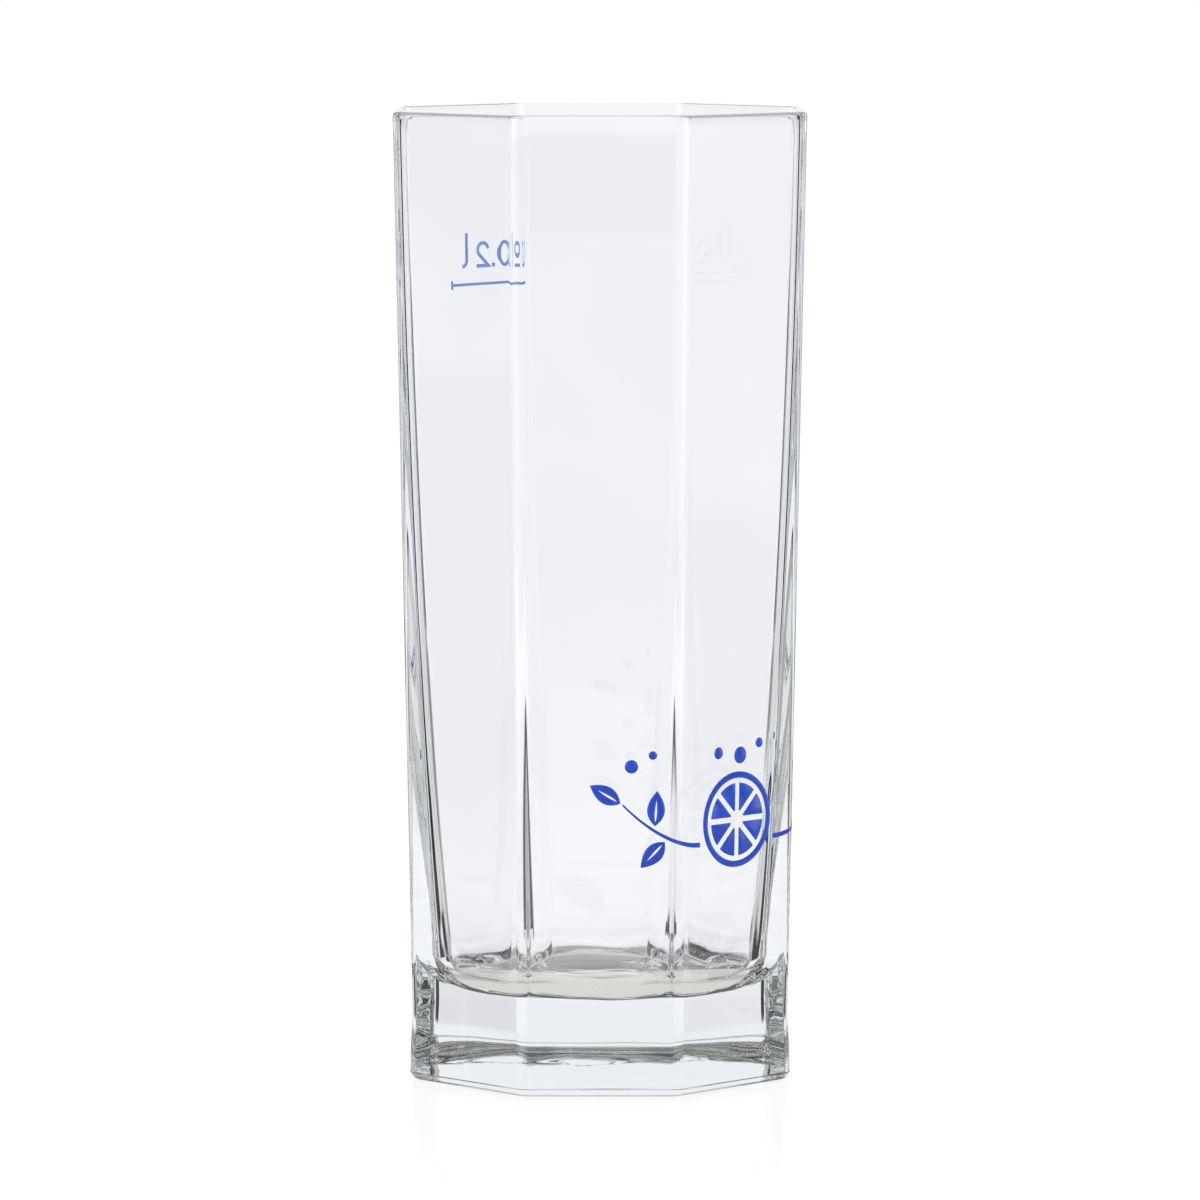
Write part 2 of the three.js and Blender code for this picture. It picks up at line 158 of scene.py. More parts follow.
# What glass sees around it, in bands of elevation from the ground up, with shades by heading in degrees,
# where nought is the middle of the backdrop
GROUND_BAND = stops(
    (-180, -64, DARK),
    (-59, -31, grey(0.82)),
    (-26, -24, DARK),
    (-21, 21, FAR_FLOOR),
    (24, 180, DARK),
)
STEEP_BAND = stops(
    *LEFT_SIDE,
    (-74, -60, grey(0.75)),
    (-56.5, -30, DARK),
    (-28, -23, FAINT_LINE),
    (-21.5, 21, BACKDROP),
    (25, 47, DARK),
    (52, grey(0.75)),
    (66, grey(0.62)),
    *RIGHT_SIDE,
)
LOW_BAND = stops(
    *LEFT_SIDE,
    (-74, -54, grey(0.75)),
    (-49, -30, DARK),
    (-28, -23, FAINT_LINE),
    (-21.5, 26, BACKDROP),
    (36, PALE),
    (66, grey(0.7)),
    *RIGHT_SIDE,
)
WALL_BAND = stops(
    *LEFT_SIDE,
    (-74, PALE),
    (-49, BACKDROP),
    (-46, -30, DARK),
    (-28, -22.2, FAINT_LINE),
    (-21.6, 21.6, BACKDROP),
    (22.2, 28, FAINT_LINE),
    (30, 46, DARK),
    (49, BACKDROP),
    (66, grey(0.75)),
    *RIGHT_SIDE,
)
EVEN_BAND = stops(
    *LEFT_SIDE,
    (-74, PALE),
    (-49, BACKDROP),
    (-46, -31, DARK),
    (-29.5, -25.5, LEFT_FLANK),
    (-24, -6, STRIP),
    (-3, 3, BACKDROP),
    (6, 24, STRIP),
    (25.5, 29.5, RIGHT_FLANK),
    (31, 46, DARK),
    (49, BACKDROP),
    (66, grey(0.75)),
    *RIGHT_SIDE,
)
LEVEL_BAND = stops(
    (-180, -146, DIM),
    (-143, -127, PALE),
    (-124, -100, DIM),
    (-94, -76, DARK),
    (-60, grey(0.4)),
    (-54, grey(0.9)),
    (-38, 30, BACKDROP),
    (36, grey(0.5)),
    (58, grey(0.55)),
    (68, grey(0.1)),
    (80, 90, grey(0.25)),
    (98, DIM),
    (101, 112, PALE),
    (115, 124, DIM),
    (127, 143, PALE),
    (146, 155, DIM),
    (158, 169, PALE),
    (172, 180, DIM),
)
HIGH_BAND = mirrored(
    (0, 26, grey(0.1)),
    (34, 62, DARK),
    (66, 70, AMBER),
    (73, 84, PALE),
    (88, 150, DARK),
    (165, 180, grey(0.25)),
)
ROOF_BAND = mirrored(
    (0, grey(0.12)),
    (20, grey(0.14)),
    (50, grey(0.3)),
    (90, 125, grey(0.12)),
    (140, 180, grey(1.1)),
)
# The elevation in degrees where each band begins, and the width of the blend there
BANDS = (
    (-90, 0, GROUND_BAND),
    (-21.4, 1.4, STEEP_BAND),
    (-16.5, 1.4, LOW_BAND),
    (-13, 1.4, WALL_BAND),
    (-10.8, 0.4, EVEN_BAND),
    (-1, 3, LEVEL_BAND),
    (25, 3, HIGH_BAND),
    (60, 8, ROOF_BAND),
)
# White windows in those bands, for looks from other sides: heading, lowest and highest elevation in degrees.
# They reach some degrees to each side of the heading, and fade out beyond that.
WINDOWS = ((-90, -8, 9), (135, -21, -8))
WINDOW_REACH = 11
WINDOW_FADE = 1.2
WINDOW_EDGE = 1
# What gloss shows, by heading, and overhead from a height on; on the floor, which reflections see glowing,
# these are painted pools of light and painted dark strips
SEEN_IN_GLOSS = mirrored(
    (0, 19, BACKDROP),
    (23, 39, grey(0.1)),
    (45, 72, grey(1.1)),
    (84, 110, grey(0.15, 1.2)),
    (135, grey(2.0)),
    (160, grey(0.15, 1.2)),
    (180, grey(0.12, 1.3)),
)
GLOSS_ROOF = grey(0.85)
GLOSS_ROOF_START = (0.5, 0.62)
# Painted shade: near the glass the floor glows dimmer in reflections
NEAR_GLOSS_PAINTED_SHADE = grey(0.5)

FLOOR_SIZE = 8
FLOOR_ROUGHNESS = 0.12
# Air under the foot, so that the base shines as it does on a real table
FLOOR_GAP = 0.05 * MM
# The camera sees a white floor, and from the far start on nothing but white
FLOOR_GLOW = 1.04
FLOOR_WHITE = 0.8
FAR_START = (200 * MM, 320 * MM)
# The floor as glass sees it: a painted shadow under the base and a darker painted contact shadow ring under
# the foot, and distances from the axis where its rings change
FLOOR_PAINTED_SHADOW = (0.76, 0.74, 0.71, 1)
CONTACT_PAINTED_SHADOW = (0.55, 0.54, 0.52, 1)
CONTACT_RING = (24.5 * MM, 26.5 * MM)
FOOT_EDGE = (30.2 * MM, 32.5 * MM)
NEAR_RING = (42 * MM, 52 * MM)
BEHIND_START = (190 * MM, 215 * MM)
FRONT_START = (50 * MM, 60 * MM)
WING_START = (340 * MM, 380 * MM)
# Angles from the middle of the backdrop over which its sectors change, as shares of a turn
BEHIND_SECTOR = (17.5 / 360, 16 / 360)
FRONT_SECTOR = (105 / 360, 115 / 360)
WING_INSIDE = (25 / 360, 27 / 360)
WING_OUTSIDE = (56 / 360, 52 / 360)

# Light may run down the whole wall, from one side of it to the other
BOUNCES = 128
CLEAR_BOUNCES = 16
LAMPS = 4
LAMP_POWER = 4.0
LAMP_WIDTH = 0.28
LAMP_LENGTH = 1.1
LAMP_DISTANCE = 1.5
LAMP_HEIGHT = 0.6
LAMP_AIM = 0.07
SENSOR_WIDTH = 36
VIEW_END = 50


def length(name, description, millimetres):
    """A length property, given in millimetres and kept in metres."""
    return bpy.props.FloatProperty(
        name=name, description=description, default=millimetres * MM, unit="LENGTH", precision=5
    )


def share(name, description, value):
    return bpy.props.FloatProperty(name=name, description=description, default=value, precision=4)


def count(name, description, value):
    return bpy.props.IntProperty(name=name, description=description, default=value, min=1)


def colour(name, description, value):
    return bpy.props.FloatVectorProperty(
        name=name, description=description, default=value, size=4, subtype="COLOR", min=0, max=1
    )


class GlassBodySizes(bpy.types.PropertyGroup):
    """Sizes of the pressed glass body."""

    height: length("Height", "From the foot to the top of the rim", 138)
    rim_width: length("Rim width", "Across two facets at the rim", 58.5)
    waist_width: length("Waist width", "Across two facets just above the heel", 53.5)
    waist_rise: length("Waist rise", "From the top of the heel to the waist", 7)
    heel_flare: length("Heel flare", "How far a heel facet stands out past the waist", 0.25)
    heel_band: length("Heel band", "Straight part of the heel", 2.2)
    heel_radius: length("Heel radius", "Rounding of the foot's outer edge", 1.3)
    seam_height: length("Seam height", "The mould's seam on the heel, above the foot", 1.05)
    seam_width: length("Seam width", "Width of the mould's seam", 0.22)
    seam_rise: length("Seam rise", "How far the mould's seam stands out", 0.12)
    outer_corner: length("Outer corner", "Rounding of the upright edges outside", 2.6)
    foot_ring: length("Foot ring", "Width of the flat ring the glass stands on", 5)
    punt_depth: length("Punt depth", "Hollow in the middle of the underside", 0.9)
    punt_corner: length("Punt corner", "Rounding of the hollow's outline", 12)
    rim_wall: length("Rim wall", "Wall thickness just under the lip", 1.5)
    lip_rounding: length("Lip rounding", "Rounding of the lip's outer edge", 0.7)
    lip_slope_drop: length("Lip slope drop", "Height of the lip's sloped inner side", 1.1)
    lip_slope_run: length("Lip slope run", "Width of the lip's sloped inner side", 0.28)
    lip_edge_drop: length("Lip edge drop", "Part of the slope's drop that is rounded off", 0.35)
    low_wall: length("Low wall", "Wall thickness where the floor rounding begins", 6)
    floor_height: length("Floor height", "Glass under the middle of the floor", 12.4)
    floor_dish: length("Floor dish", "How far the floor's middle lies under its edge", 0.4)
    rounding_rise: length("Rounding rise", "Height of the rounding at the floor", 5)
    rounding_reach: length("Rounding reach", "Width of the rounding at the floor", 6)
    upper_lean: share("Upper lean", "Inward run of the inner wall per unit of drop, under the rim", 0.019)
    lower_lean: share("Lower lean", "Inward run of the inner wall per unit of drop, near the floor", 0.1)
    upper_sweep: share("Upper sweep", "Share of the drop that the upper lean bears on", 0.37)
    lower_sweep: share("Lower sweep", "Share of the drop that the lower lean bears on", 0.29)
    inner_corner_top: length("Inner corner, top", "Rounding of the inner edges at the rim", 2.4)
    inner_corner_low: length("Inner corner, low", "Rounding of the inner edges at the floor", 7)
    inner_corner_sweep: share("Inner corner sweep", "How late the inner rounding grows, as a power", 5)
    wall_wave: length("Wall wave", "Height of the slow waves inside the wall", 0.008)
    wall_wave_length: length("Wall wave length", "Size of the slow waves inside the wall", 22)
    base_wave: length("Base wave", "Height of the waves over and under the base", 0.35)
    base_wave_length: length("Base wave length", "Size of the waves over and under the base", 8)
    corner_steps: count("Corner steps", "Faces around one rounded corner", 14)
    facet_cuts: count("Facet cuts", "Cuts across one facet", 9)


class PrintSizes(bpy.types.PropertyGroup):
    """Sizes of the fired enamel prints."""

    sink: length("Sink", "How far a print is fused into the glass", 0.03)
    rise: length("Rise", "How far a print stands out of the glass", 0.05)
    soft_edge: length("Soft edge", "Rounding of a print's upper edge", 0.02)
    fill_drop: length("Fill drop", "The fill line's distance under the rim", 26.5)
    fill_length: length("Fill line length", "Length of the fill line", 12)
    fill_width: length("Fill line width", "Width of the fill line", 0.4)
    fill_tick: length("Fill tick", "Height of the ticks at the line's ends", 1.3)
    fill_shift: length("Fill shift", "Middle of the mark from the middle of its facet", -4.2)
    glyph_rise: length("Figure rise", "Foot of the figures above the fill line", 2.4)
    glyph_height: length("Figure height", "Height of a figure", 3.9)
    glyph_width: length("Figure width", "Width of a figure", 2.6)
    glyph_stroke: length("Figure stroke", "Width of the pen", 0.52)
    glyph_space: length("Figure space", "Room between figures", 1)
    litre_height: length("Litre letter height", "Height of the letter for litre", 5.2)
    litre_foot: length("Litre letter foot", "Radius of the letter's curled foot", 0.9)
    design_height: length("Design height", "Middle of the fruit wheel above the foot", 38.5)
    rind_radius: length("Rind radius", "Outer radius of the fruit wheel", 6.8)
    rind_width: length("Rind width", "Width of the wheel's rind", 0.9)
    rind_gap: length("Rind gap", "From the rind to the segments", 0.7)
    segment_gap: length("Segment gap", "Room between two segments", 0.8)
    segment_rounding: length("Segment rounding", "Rounding of a segment's corners", 0.45)
    segments: count("Segments", "Segments in the fruit wheel", 8)
    stem_width: length("Stem width", "Width of a stem at its thick end", 0.7)
    stem_clear: length("Stem clearance", "From the rind to a stem", 0.6)
    stem_reach: length("Stem reach", "Length of a stem around the glass", 12)
    stem_drop: length("Stem drop", "A stem's near end from the wheel's middle", -3)
    stem_rise: length("Stem rise", "A stem's tip over its near end", 6)
    leaf_length: length("Leaf length", "From a leaf's foot to its tip", 5)
    leaf_width: length("Leaf width", "Across a leaf", 2.5)
    leaf_vein: length("Leaf vein", "Width of the slit along a leaf", 0.3)
    leaf_clear: length("Leaf clearance", "From a stem's side to a leaf's foot", 0.35)


class Finishes(bpy.types.PropertyGroup):
    """Colours and stage settings."""

    glass: colour("Glass", "Tint of the clear glass's skin", (1, 1, 1, 1))
    glass_cloud: colour("Glass cloud", "Tint of the faint clouds in its skin", (0.985, 0.988, 0.99, 1))
    glass_depth: colour("Glass depth", "Colour that deep glass takes", (0.55, 0.62, 0.6, 1))
    glass_density: share("Glass density", "How fast deep glass takes its colour, per metre", 4.4)
    ink: colour("Enamel", "Colour of the fired blue enamel", (0.012, 0.062, 0.5, 1))
    # The fill mark's enamel is a copy of the blue enamel: light really passes through its clear part, and its
    # paler tint is painted light for the back light seen through it
    mark: colour("Pale enamel", "Colour of the fill mark's thin enamel", (0.46, 0.65, 0.98, 1))
    mark_clearness: share("Mark clearness", "Share of light that passes through the fill mark's enamel", 0.8)
    floor: colour("Floor", "Colour of the floor", (0.9, 0.9, 0.91, 1))
    camera_distance: length("Camera distance", "From the glass's axis to the camera", 1090)
    camera_height: length("Camera height", "Camera above the floor", 172)
    camera_pitch: share("Camera pitch", "Downward tilt of the camera in degrees", 5.464)
    camera_lens: share("Camera lens", "Focal length in millimetres", 229.2)


# Places along a stem as a share of its reach, and turns from its outward direction in degrees
LEAVES = ((0.46, -72), (0.62, 62), (1, -14))
# Facet from the wheel's own, and in millimetres the place from its middle, the height over the wheel's
# middle, and the radius
BUBBLES = (
    (0, -3.9, 9.7, 0.85),
    (0, 0.5, 9.1, 1.2),
    (0, 4.3, 10.6, 0.7),
    (-1, 4.4, 8.4, 0.95),
    (-1, 7.4, 10, 0.6),
    (1, -4.9, 8.8, 0.8),
    (1, -7.8, 10.2, 0.55),
)


def bezier(points, t):
    """A point on the Bezier curve with these handles."""
    points = [Vector(p) for p in points]
    while len(points) > 1:
        points = [a.lerp(b, t) for a, b in zip(points, points[1:])]
    return points[0]


def along(points, steps, first=1):
    """Points on a Bezier curve, from the step named first."""
    return [bezier(points, step / steps) for step in range(first, steps + 1)]


def mixed(a, b, t):
    return a + (b - a) * t


class Profile:
    """The glass's section, worked out from its sizes: facet distances, heights and corner roundings."""

    def __init__(self, s):
        self.s = s
        self.rim = s.rim_width / 2
        self.waist = s.waist_width / 2
        self.heel = self.waist + s.heel_flare
        self.heel_top = s.heel_radius + s.heel_band
        self.ring_out = self.heel - s.heel_radius
        self.ring_in = self.ring_out - s.foot_ring
        self.waist_height = self.heel_top + s.waist_rise
        self.wall_top = s.height - s.lip_rounding
        self.lip_foot = s.height - s.lip_slope_drop
        self.floor_edge = s.floor_height + s.floor_dish
        self.low_height = self.floor_edge + s.rounding_rise

    def wall(self, height):
        """Distance of the facets from the axis on the straight tapered wall."""
        part = (height - self.waist_height) / (self.wall_top - self.waist_height)
        return mixed(self.waist, self.rim, part)

    def hollow(self):
        """The shallow hollow under the base."""
        s = self.s
        curve = [(0, s.punt_depth), (self.ring_in / 2, s.punt_depth), (self.ring_in, 0)]
        return [(p.x, p.y, s.punt_corner) for p in along(curve, HOLLOW_STEPS)]

    def heel_turn(self):
        """The flat foot ring and the rounding at its outer edge."""
        s = self.s
        inner_edge = s.outer_corner - s.heel_radius
        levels = []
        for step in range(1, RING_STEPS):
            part = step / RING_STEPS
            corner = mixed(s.punt_corner, inner_edge, part)
            levels.append((mixed(self.ring_in, self.ring_out, part), 0, corner))
        turns = [math.pi / 2 * step / HEEL_STEPS for step in range(HEEL_STEPS + 1)]
        heights = [s.heel_radius * (1 - math.cos(turn)) for turn in turns]
        heights = [height for height in heights if abs(height - s.seam_height) > s.seam_width]
        ridge = [s.seam_height + side * s.seam_width / 4 for side in (-1, 1)]
        heights += ridge + [s.seam_height + side * s.seam_width / 2 for side in (-1, 1)]
        for height in sorted(heights):
            x = self.ring_out + math.sqrt(s.heel_radius**2 - (s.heel_radius - height) ** 2)
            out = s.seam_rise if height in ridge else 0
            levels.append((x + out, height, s.outer_corner - (self.heel - x)))
        return levels

    def outside(self):
        s = self.s
        half = s.waist_rise / 2
        flare = [
            (self.heel, self.heel_top),
            (self.heel, self.heel_top + half),
            (self.wall(self.waist_height - half), self.waist_height - half),
            (self.waist, self.waist_height),
        ]
        levels = [(p.x, p.y, s.outer_corner) for p in along(flare, FLARE_STEPS, 0)]
        for step in range(1, WALL_STEPS + 1):
            height = mixed(self.waist_height, self.wall_top, step / WALL_STEPS)
            levels.append((self.wall(height), height, s.outer_corner))
        return levels

    def lip(self):
        """The lip's round outer edge up to its crest, and its inner side down to the foot of its slope."""
        s = self.s
        crest = self.rim - s.lip_rounding
        foot = self.rim - s.rim_wall
        turns = [math.pi / 2 * step / LIP_STEPS for step in range(1, LIP_STEPS + 1)]
        outer = [
            (crest + s.lip_rounding * math.cos(turn), self.wall_top + s.lip_rounding * math.sin(turn))
            for turn in turns
        ]
        edge_share = s.lip_edge_drop / s.lip_slope_drop
        slope = (foot + s.lip_slope_run * (1 - edge_share), s.height - s.lip_edge_drop)
        edge = [(crest, s.height), (foot + s.lip_slope_run, s.height), slope]
        inner = along(edge, LIP_STEPS) + along([slope, (foot, self.lip_foot)], LIP_STEPS // 2)

        def levels(points):
            for x, height in points:
                inward = (self.rim - x) / s.rim_wall
                yield x, height, mixed(s.outer_corner, s.inner_corner_top, inward)

        return list(levels(outer)), list(levels(inner))

    def inside(self):
        s = self.s
        top = Vector((self.rim - s.rim_wall, self.lip_foot))
        low = Vector((self.wall(self.low_height) - s.low_wall, self.low_height))
        drop = top.y - low.y
        wall = [
            top,
            (top.x - s.upper_lean * s.upper_sweep * drop, top.y - s.upper_sweep * drop),
            (low.x + s.lower_lean * s.lower_sweep * drop, low.y + s.lower_sweep * drop),
            low,
        ]
        levels = []
        for p in along(wall, INNER_WALL_STEPS):
            fall = ((top.y - p.y) / drop) ** s.inner_corner_sweep
            levels.append((p.x, p.y, mixed(s.inner_corner_top, s.inner_corner_low, fall)))
        edge = Vector((low.x - s.rounding_reach, self.floor_edge))
        rounding = [
            low,
            (low.x - s.lower_lean * s.rounding_rise * ROUNDING_PULL, low.y - s.rounding_rise * ROUNDING_PULL),
            (edge.x + s.rounding_reach * ROUNDING_PULL, edge.y),
            edge,
        ]
        for p in along(rounding, ROUNDING_STEPS):
            fall = (low.y - p.y) / s.rounding_rise
            levels.append((p.x, p.y, mixed(s.inner_corner_low, edge.x, fall * fall)))
        floor = [edge, (edge.x / 2, s.floor_height), (0, s.floor_height)]
        levels += [(p.x, p.y, p.x) for p in along(floor, FLOOR_STEPS)[:-1]]
        return levels

    def runs(self):
        """Three runs of levels, each starting on the last level of the one before."""
        hollow = self.hollow()
        outer_lip, inner_lip = self.lip()
        return (
            hollow,
            hollow[-1:] + self.heel_turn() + self.outside() + outer_lip,
            outer_lip[-1:] + inner_lip + self.inside(),
        )


def take(piece):
    """Makes a piece the active one and the only one selected."""
    bpy.ops.object.select_all(action="DESELECT")
    piece.select_set(True)
    bpy.context.view_layer.objects.active = piece


def start_mesh(name):
    """An empty mesh object, active and in edit mode."""
    piece = bpy.data.objects.new(name, bpy.data.meshes.new(name))
    bpy.context.scene.collection.objects.link(piece)
    take(piece)
    bpy.ops.object.mode_set(mode="EDIT")
    bpy.ops.mesh.select_mode(type="VERT")
    return piece


def edit_mesh(piece):
    return bmesh.from_edit_mesh(piece.data)


def facet_ways(facet):
    """A facet's way outward, and the way to its right as seen from outside."""
    angle = FRONT_ANGLE + 2 * HALF_SIDE * facet
    facing = Vector((math.cos(angle), math.sin(angle), 0))
    return facing, Vector((-facing.y, facing.x, 0))


def flat_place(profile, facet, height, across=0, up=0, turn=0):
    """Where flat work lies on a facet: X to the right seen from outside, Y up the facet, Z outward."""
    facing, right = facet_ways(facet)
    rise = (facing * (profile.wall(1) - profile.wall(0)) + Vector((0, 0, 1))).normalized()
    place = Matrix((right, rise, right.cross(rise))).transposed().to_4x4()
    place.translation = facing * profile.wall(height) + Vector((0, 0, height))
    return place @ Matrix.Translation((across, up, 0)) @ Matrix.Rotation(turn, 4, "Z")


def ribbon(piece, sections):
    """A flat strip: an edge is extruded from each cross-section to the next."""
    mesh = edit_mesh(piece)
    bpy.ops.mesh.select_all(action="DESELECT")
    bpy.ops.mesh.select_mode(type="EDGE")
    mesh.edges.new([mesh.verts.new(point) for point in sections[0]]).select_set(True)
    for here, onward in zip(sections, sections[1:]):
        bpy.ops.mesh.extrude_edges_move()
        mesh = edit_mesh(piece)
        first, second = [vert for vert in mesh.verts if vert.select]
        if (first.co - Vector(here[0])).length > (second.co - Vector(here[0])).length:
            first, second = second, first
        first.co, second.co = onward
    bmesh.update_edit_mesh(piece.data)
    bpy.ops.mesh.select_all(action="SELECT")
    bpy.ops.mesh.remove_doubles(threshold=FINE_WELD)


def stroke(piece, points, width):
    """A pen stroke of even width along a line of flat points, with mitred bends."""
    points = [Vector(point) for point in points]
    sections = []
    for number, point in enumerate(points):
        into = (point - points[number - 1]).normalized() if number else None
        onward = (points[number + 1] - point).normalized() if number + 1 < len(points) else into
        into = into or onward
        heading = (into + onward).normalized()
        reach = Vector((-heading.y, heading.x)) * width / 2 / heading.dot(into)
        sections.append(((point - reach).to_3d(), (point + reach).to_3d()))
    ribbon(piece, sections)


def arc(x, y, radius, turns, steps):
    """Points on a circle, from one turn to another as shares of half a circle."""
    angles = [math.pi * mixed(*turns, step / steps) for step in range(steps + 1)]
    return [(x + radius * math.cos(angle), y + radius * math.sin(angle)) for angle in angles]


def stretch(across, up):
    """Scales the flat work that is selected, about the middle."""
    bpy.ops.transform.resize(value=(across, up, 1), center_override=(0, 0, 0))


def disc(radius, tallness=1, fill="NGON"):
    """A flat circle in the mesh being edited, or an upright oval."""
    bpy.ops.mesh.primitive_circle_add(vertices=ROUND_STEPS, radius=radius, fill_type=fill)
    stretch(1, tallness)


def flat_ring(outer, inner):
    """A flat ring between two ovals, each given as half its width and half its height."""
    for wide, tall in (outer, inner):
        disc(wide, tall / wide, "NOTHING")
    bpy.ops.mesh.select_all(action="SELECT")
    bpy.ops.mesh.select_mode(type="EDGE")
    bpy.ops.mesh.bridge_edge_loops()


def raise_print(piece, sizes):
    """Gives flat work its thickness and a softened upper edge, and leaves edit mode."""
    bpy.ops.mesh.select_mode(type="FACE")
    bpy.ops.mesh.select_all(action="SELECT")
    if sum(face.normal.z for face in edit_mesh(piece).faces) < 0:
        bpy.ops.mesh.flip_normals()
    bpy.ops.transform.translate(value=(0, 0, -sizes.sink))
    lift = sizes.sink + sizes.rise - sizes.soft_edge
    bpy.ops.mesh.extrude_region_move(TRANSFORM_OT_translate={"value": (0, 0, lift)})
    bpy.ops.mesh.inset(thickness=sizes.soft_edge, depth=sizes.soft_edge)
    close_print(piece)


def close_print(piece):
    bpy.ops.mesh.select_all(action="SELECT")
    bpy.ops.mesh.normals_make_consistent(inside=False)
    bpy.ops.object.mode_set(mode="OBJECT")
    bpy.ops.object.shade_smooth_by_angle(angle=SMOOTH_ANGLE)
    return piece


def settle(piece, place, material, node):
    """Lays a flat print on its facet and dresses it."""
    take(piece)
    piece.matrix_world = place
    bpy.ops.object.transform_apply(location=True, rotation=True, scale=True)
    dress(piece, material, "blue_enamel", node)


def spread_copies(piece, places, material):
    """Lays copies of one flat print, each with its own mesh, at the places given by solid name."""
    for name, place in places.items():
        take(piece)
        bpy.ops.object.duplicate(linked=False)
        copy = bpy.context.object
        copy.name = f"{name}_dressed"
        settle(copy, place, material, name)
    bpy.data.objects.remove(piece)


def edge_middle(edge):
    return (edge.verts[0].co + edge.verts[1].co) / 2


def pick_edges(piece, wanted):
    """Selects only the edges that wanted accepts."""
    mesh = edit_mesh(piece)
    for item in (*mesh.verts, *mesh.edges, *mesh.faces):
        item.select = False
    for edge in mesh.edges:
        if wanted(edge):
            edge.select_set(True)
    mesh.select_flush_mode()
    bmesh.update_edit_mesh(piece.data)


def dress(piece, material, slot, *nodes):
    """Gives a finished piece its material and its CAD body, and hides the solids that it stands for; the slot
    is not used.
    """
    piece.data.materials.append(material)
    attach(piece, "root")
    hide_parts(*nodes)
    return piece


class Nodes:
    """Builds the nodes of one material or world; an input is another node's output or a plain value."""

    def __init__(self, owner):
        owner.use_nodes = True
        self.tree = owner.node_tree
        self.tree.nodes.clear()

    def add(self, kind, inputs=(), **settings):
        """A node with its settings, and its inputs fed by name or number."""
        node = self.tree.nodes.new(f"ShaderNode{kind}")
        for name, value in settings.items():
            setattr(node, name, value)
        for name, value in dict(inputs).items():
            if isinstance(value, bpy.types.NodeSocket):
                self.tree.links.new(value, node.inputs[name])
            else:
                node.inputs[name].default_value = value
        return node

    def out(self, kind, inputs=(), **settings):
        """The first output of a new node."""
        return self.add(kind, inputs, **settings).outputs[0]

    def maths(self, operation, *values):
        return self.out("Math", enumerate(values), operation=operation)

    def eased(self, value, start, end):
        """A soft step from nought at start to one at end."""
        low, high = sorted((start, end))
        inputs = {"Value": value, "From Min": low, "From Max": high}
        inputs |= {"To Min": int(start > end), "To Max": int(start < end)}
        return self.out("MapRange", inputs, interpolation_type="SMOOTHSTEP")

    def mix(self, factor, first, second):
        """Two colours mixed by a factor, on the node's colour sockets, which go by number."""
        return self.add("Mix", {0: factor, 6: first, 7: second}, data_type="RGBA").outputs[2]

    def blend(self, factor, first, second):
        """Two surfaces mixed by a factor."""
        return self.out("MixShader", {0: factor, 1: first, 2: second})

    def glow(self, shade):
        return self.out("Emission", {"Color": shade})

    def ramp(self, turn, shades):
        """A colour for each heading; turn runs from nought behind the camera to one, all the way round."""
        node = self.add("ValToRGB", {"Fac": turn})
        marks = node.color_ramp.elements
        for _ in range(len(shades) - 2):
            marks.new(0.5)
        for mark, (degrees, shade) in zip(marks, shades):
            mark.position = (degrees + 180) / 360
            mark.color = shade
        return node.outputs["Color"]

    def place(self, kind="Object"):
        return self.add("TexCoord").outputs[kind]

    def polar(self, place):
        """A place's or direction's heading as a share of a turn, distance from the axis, and height."""
        x, y, z = self.add("SeparateXYZ", {"Vector": place}).outputs
        squares = self.maths("ADD", self.maths("MULTIPLY", x, x), self.maths("MULTIPLY", y, y))
        turn = self.maths("MULTIPLY_ADD", self.maths("ARCTAN2", x, y), 0.5 / math.pi, 0.5)
        return turn, self.maths("SQRT", squares), z

    def noise(self, scale, detail=2):
        """A cloudy pattern in the piece's own space; the scale counts clouds per metre."""
        return self.out("TexNoise", {"Vector": self.place(), "Scale": scale, "Detail": detail})

    def specks(self, spacing, radius, kept):
        """Small dots in the piece's own space: one in each cell, of which only a share is kept."""
        cells = self.add("TexVoronoi", {"Vector": self.place(), "Scale": 1 / spacing})
        size = radius / spacing
        dots = self.eased(cells.outputs["Distance"], size, SPECK_CORE * size)
        lots = self.add("SeparateColor", {"Color": cells.outputs["Color"]})
        return self.maths("MULTIPLY", dots, self.maths("LESS_THAN", lots.outputs[0], kept))


def clear_glass():
    """Clear pressed glass: faint clouds, a few specks, a scuffed foot, and depth that takes colour."""
    finishes = bpy.context.scene.glass_finishes
    material = bpy.data.materials.new("Clear pressed glass")
    nodes = Nodes(material)
    clouds = nodes.eased(nodes.noise(CLOUD_SCALE), *CLOUD_LIMITS)
    tint = nodes.mix(clouds, finishes.glass, finishes.glass_cloud)
    tint = nodes.mix(nodes.specks(SPECK_SPACING, SPECK_RADIUS, SPECK_SHARE), tint, SPECK_SHADE)
    height = nodes.add("SeparateXYZ", {"Vector": nodes.place()}).outputs["Z"]
    foot = nodes.eased(height, *SCUFF_HEIGHT)
    scratches = nodes.eased(nodes.noise(SCUFF_SCALE, SCUFF_DETAIL), *SCUFF_LIMITS)
    scuffs = nodes.maths("MULTIPLY", foot, scratches)
    skin = {"Base Color": tint, "Roughness": nodes.maths("MULTIPLY", scuffs, SCUFF_ROUGHNESS)}
    skin |= {"IOR": GLASS_IOR, "Transmission Weight": 1.0}
    tinge = {"Color": finishes.glass_depth, "Density": finishes.glass_density}
    depth = nodes.out("VolumeAbsorption", tinge)
    nodes.add("OutputMaterial", {"Surface": nodes.out("BsdfPrincipled", skin), "Volume": depth})
    return material


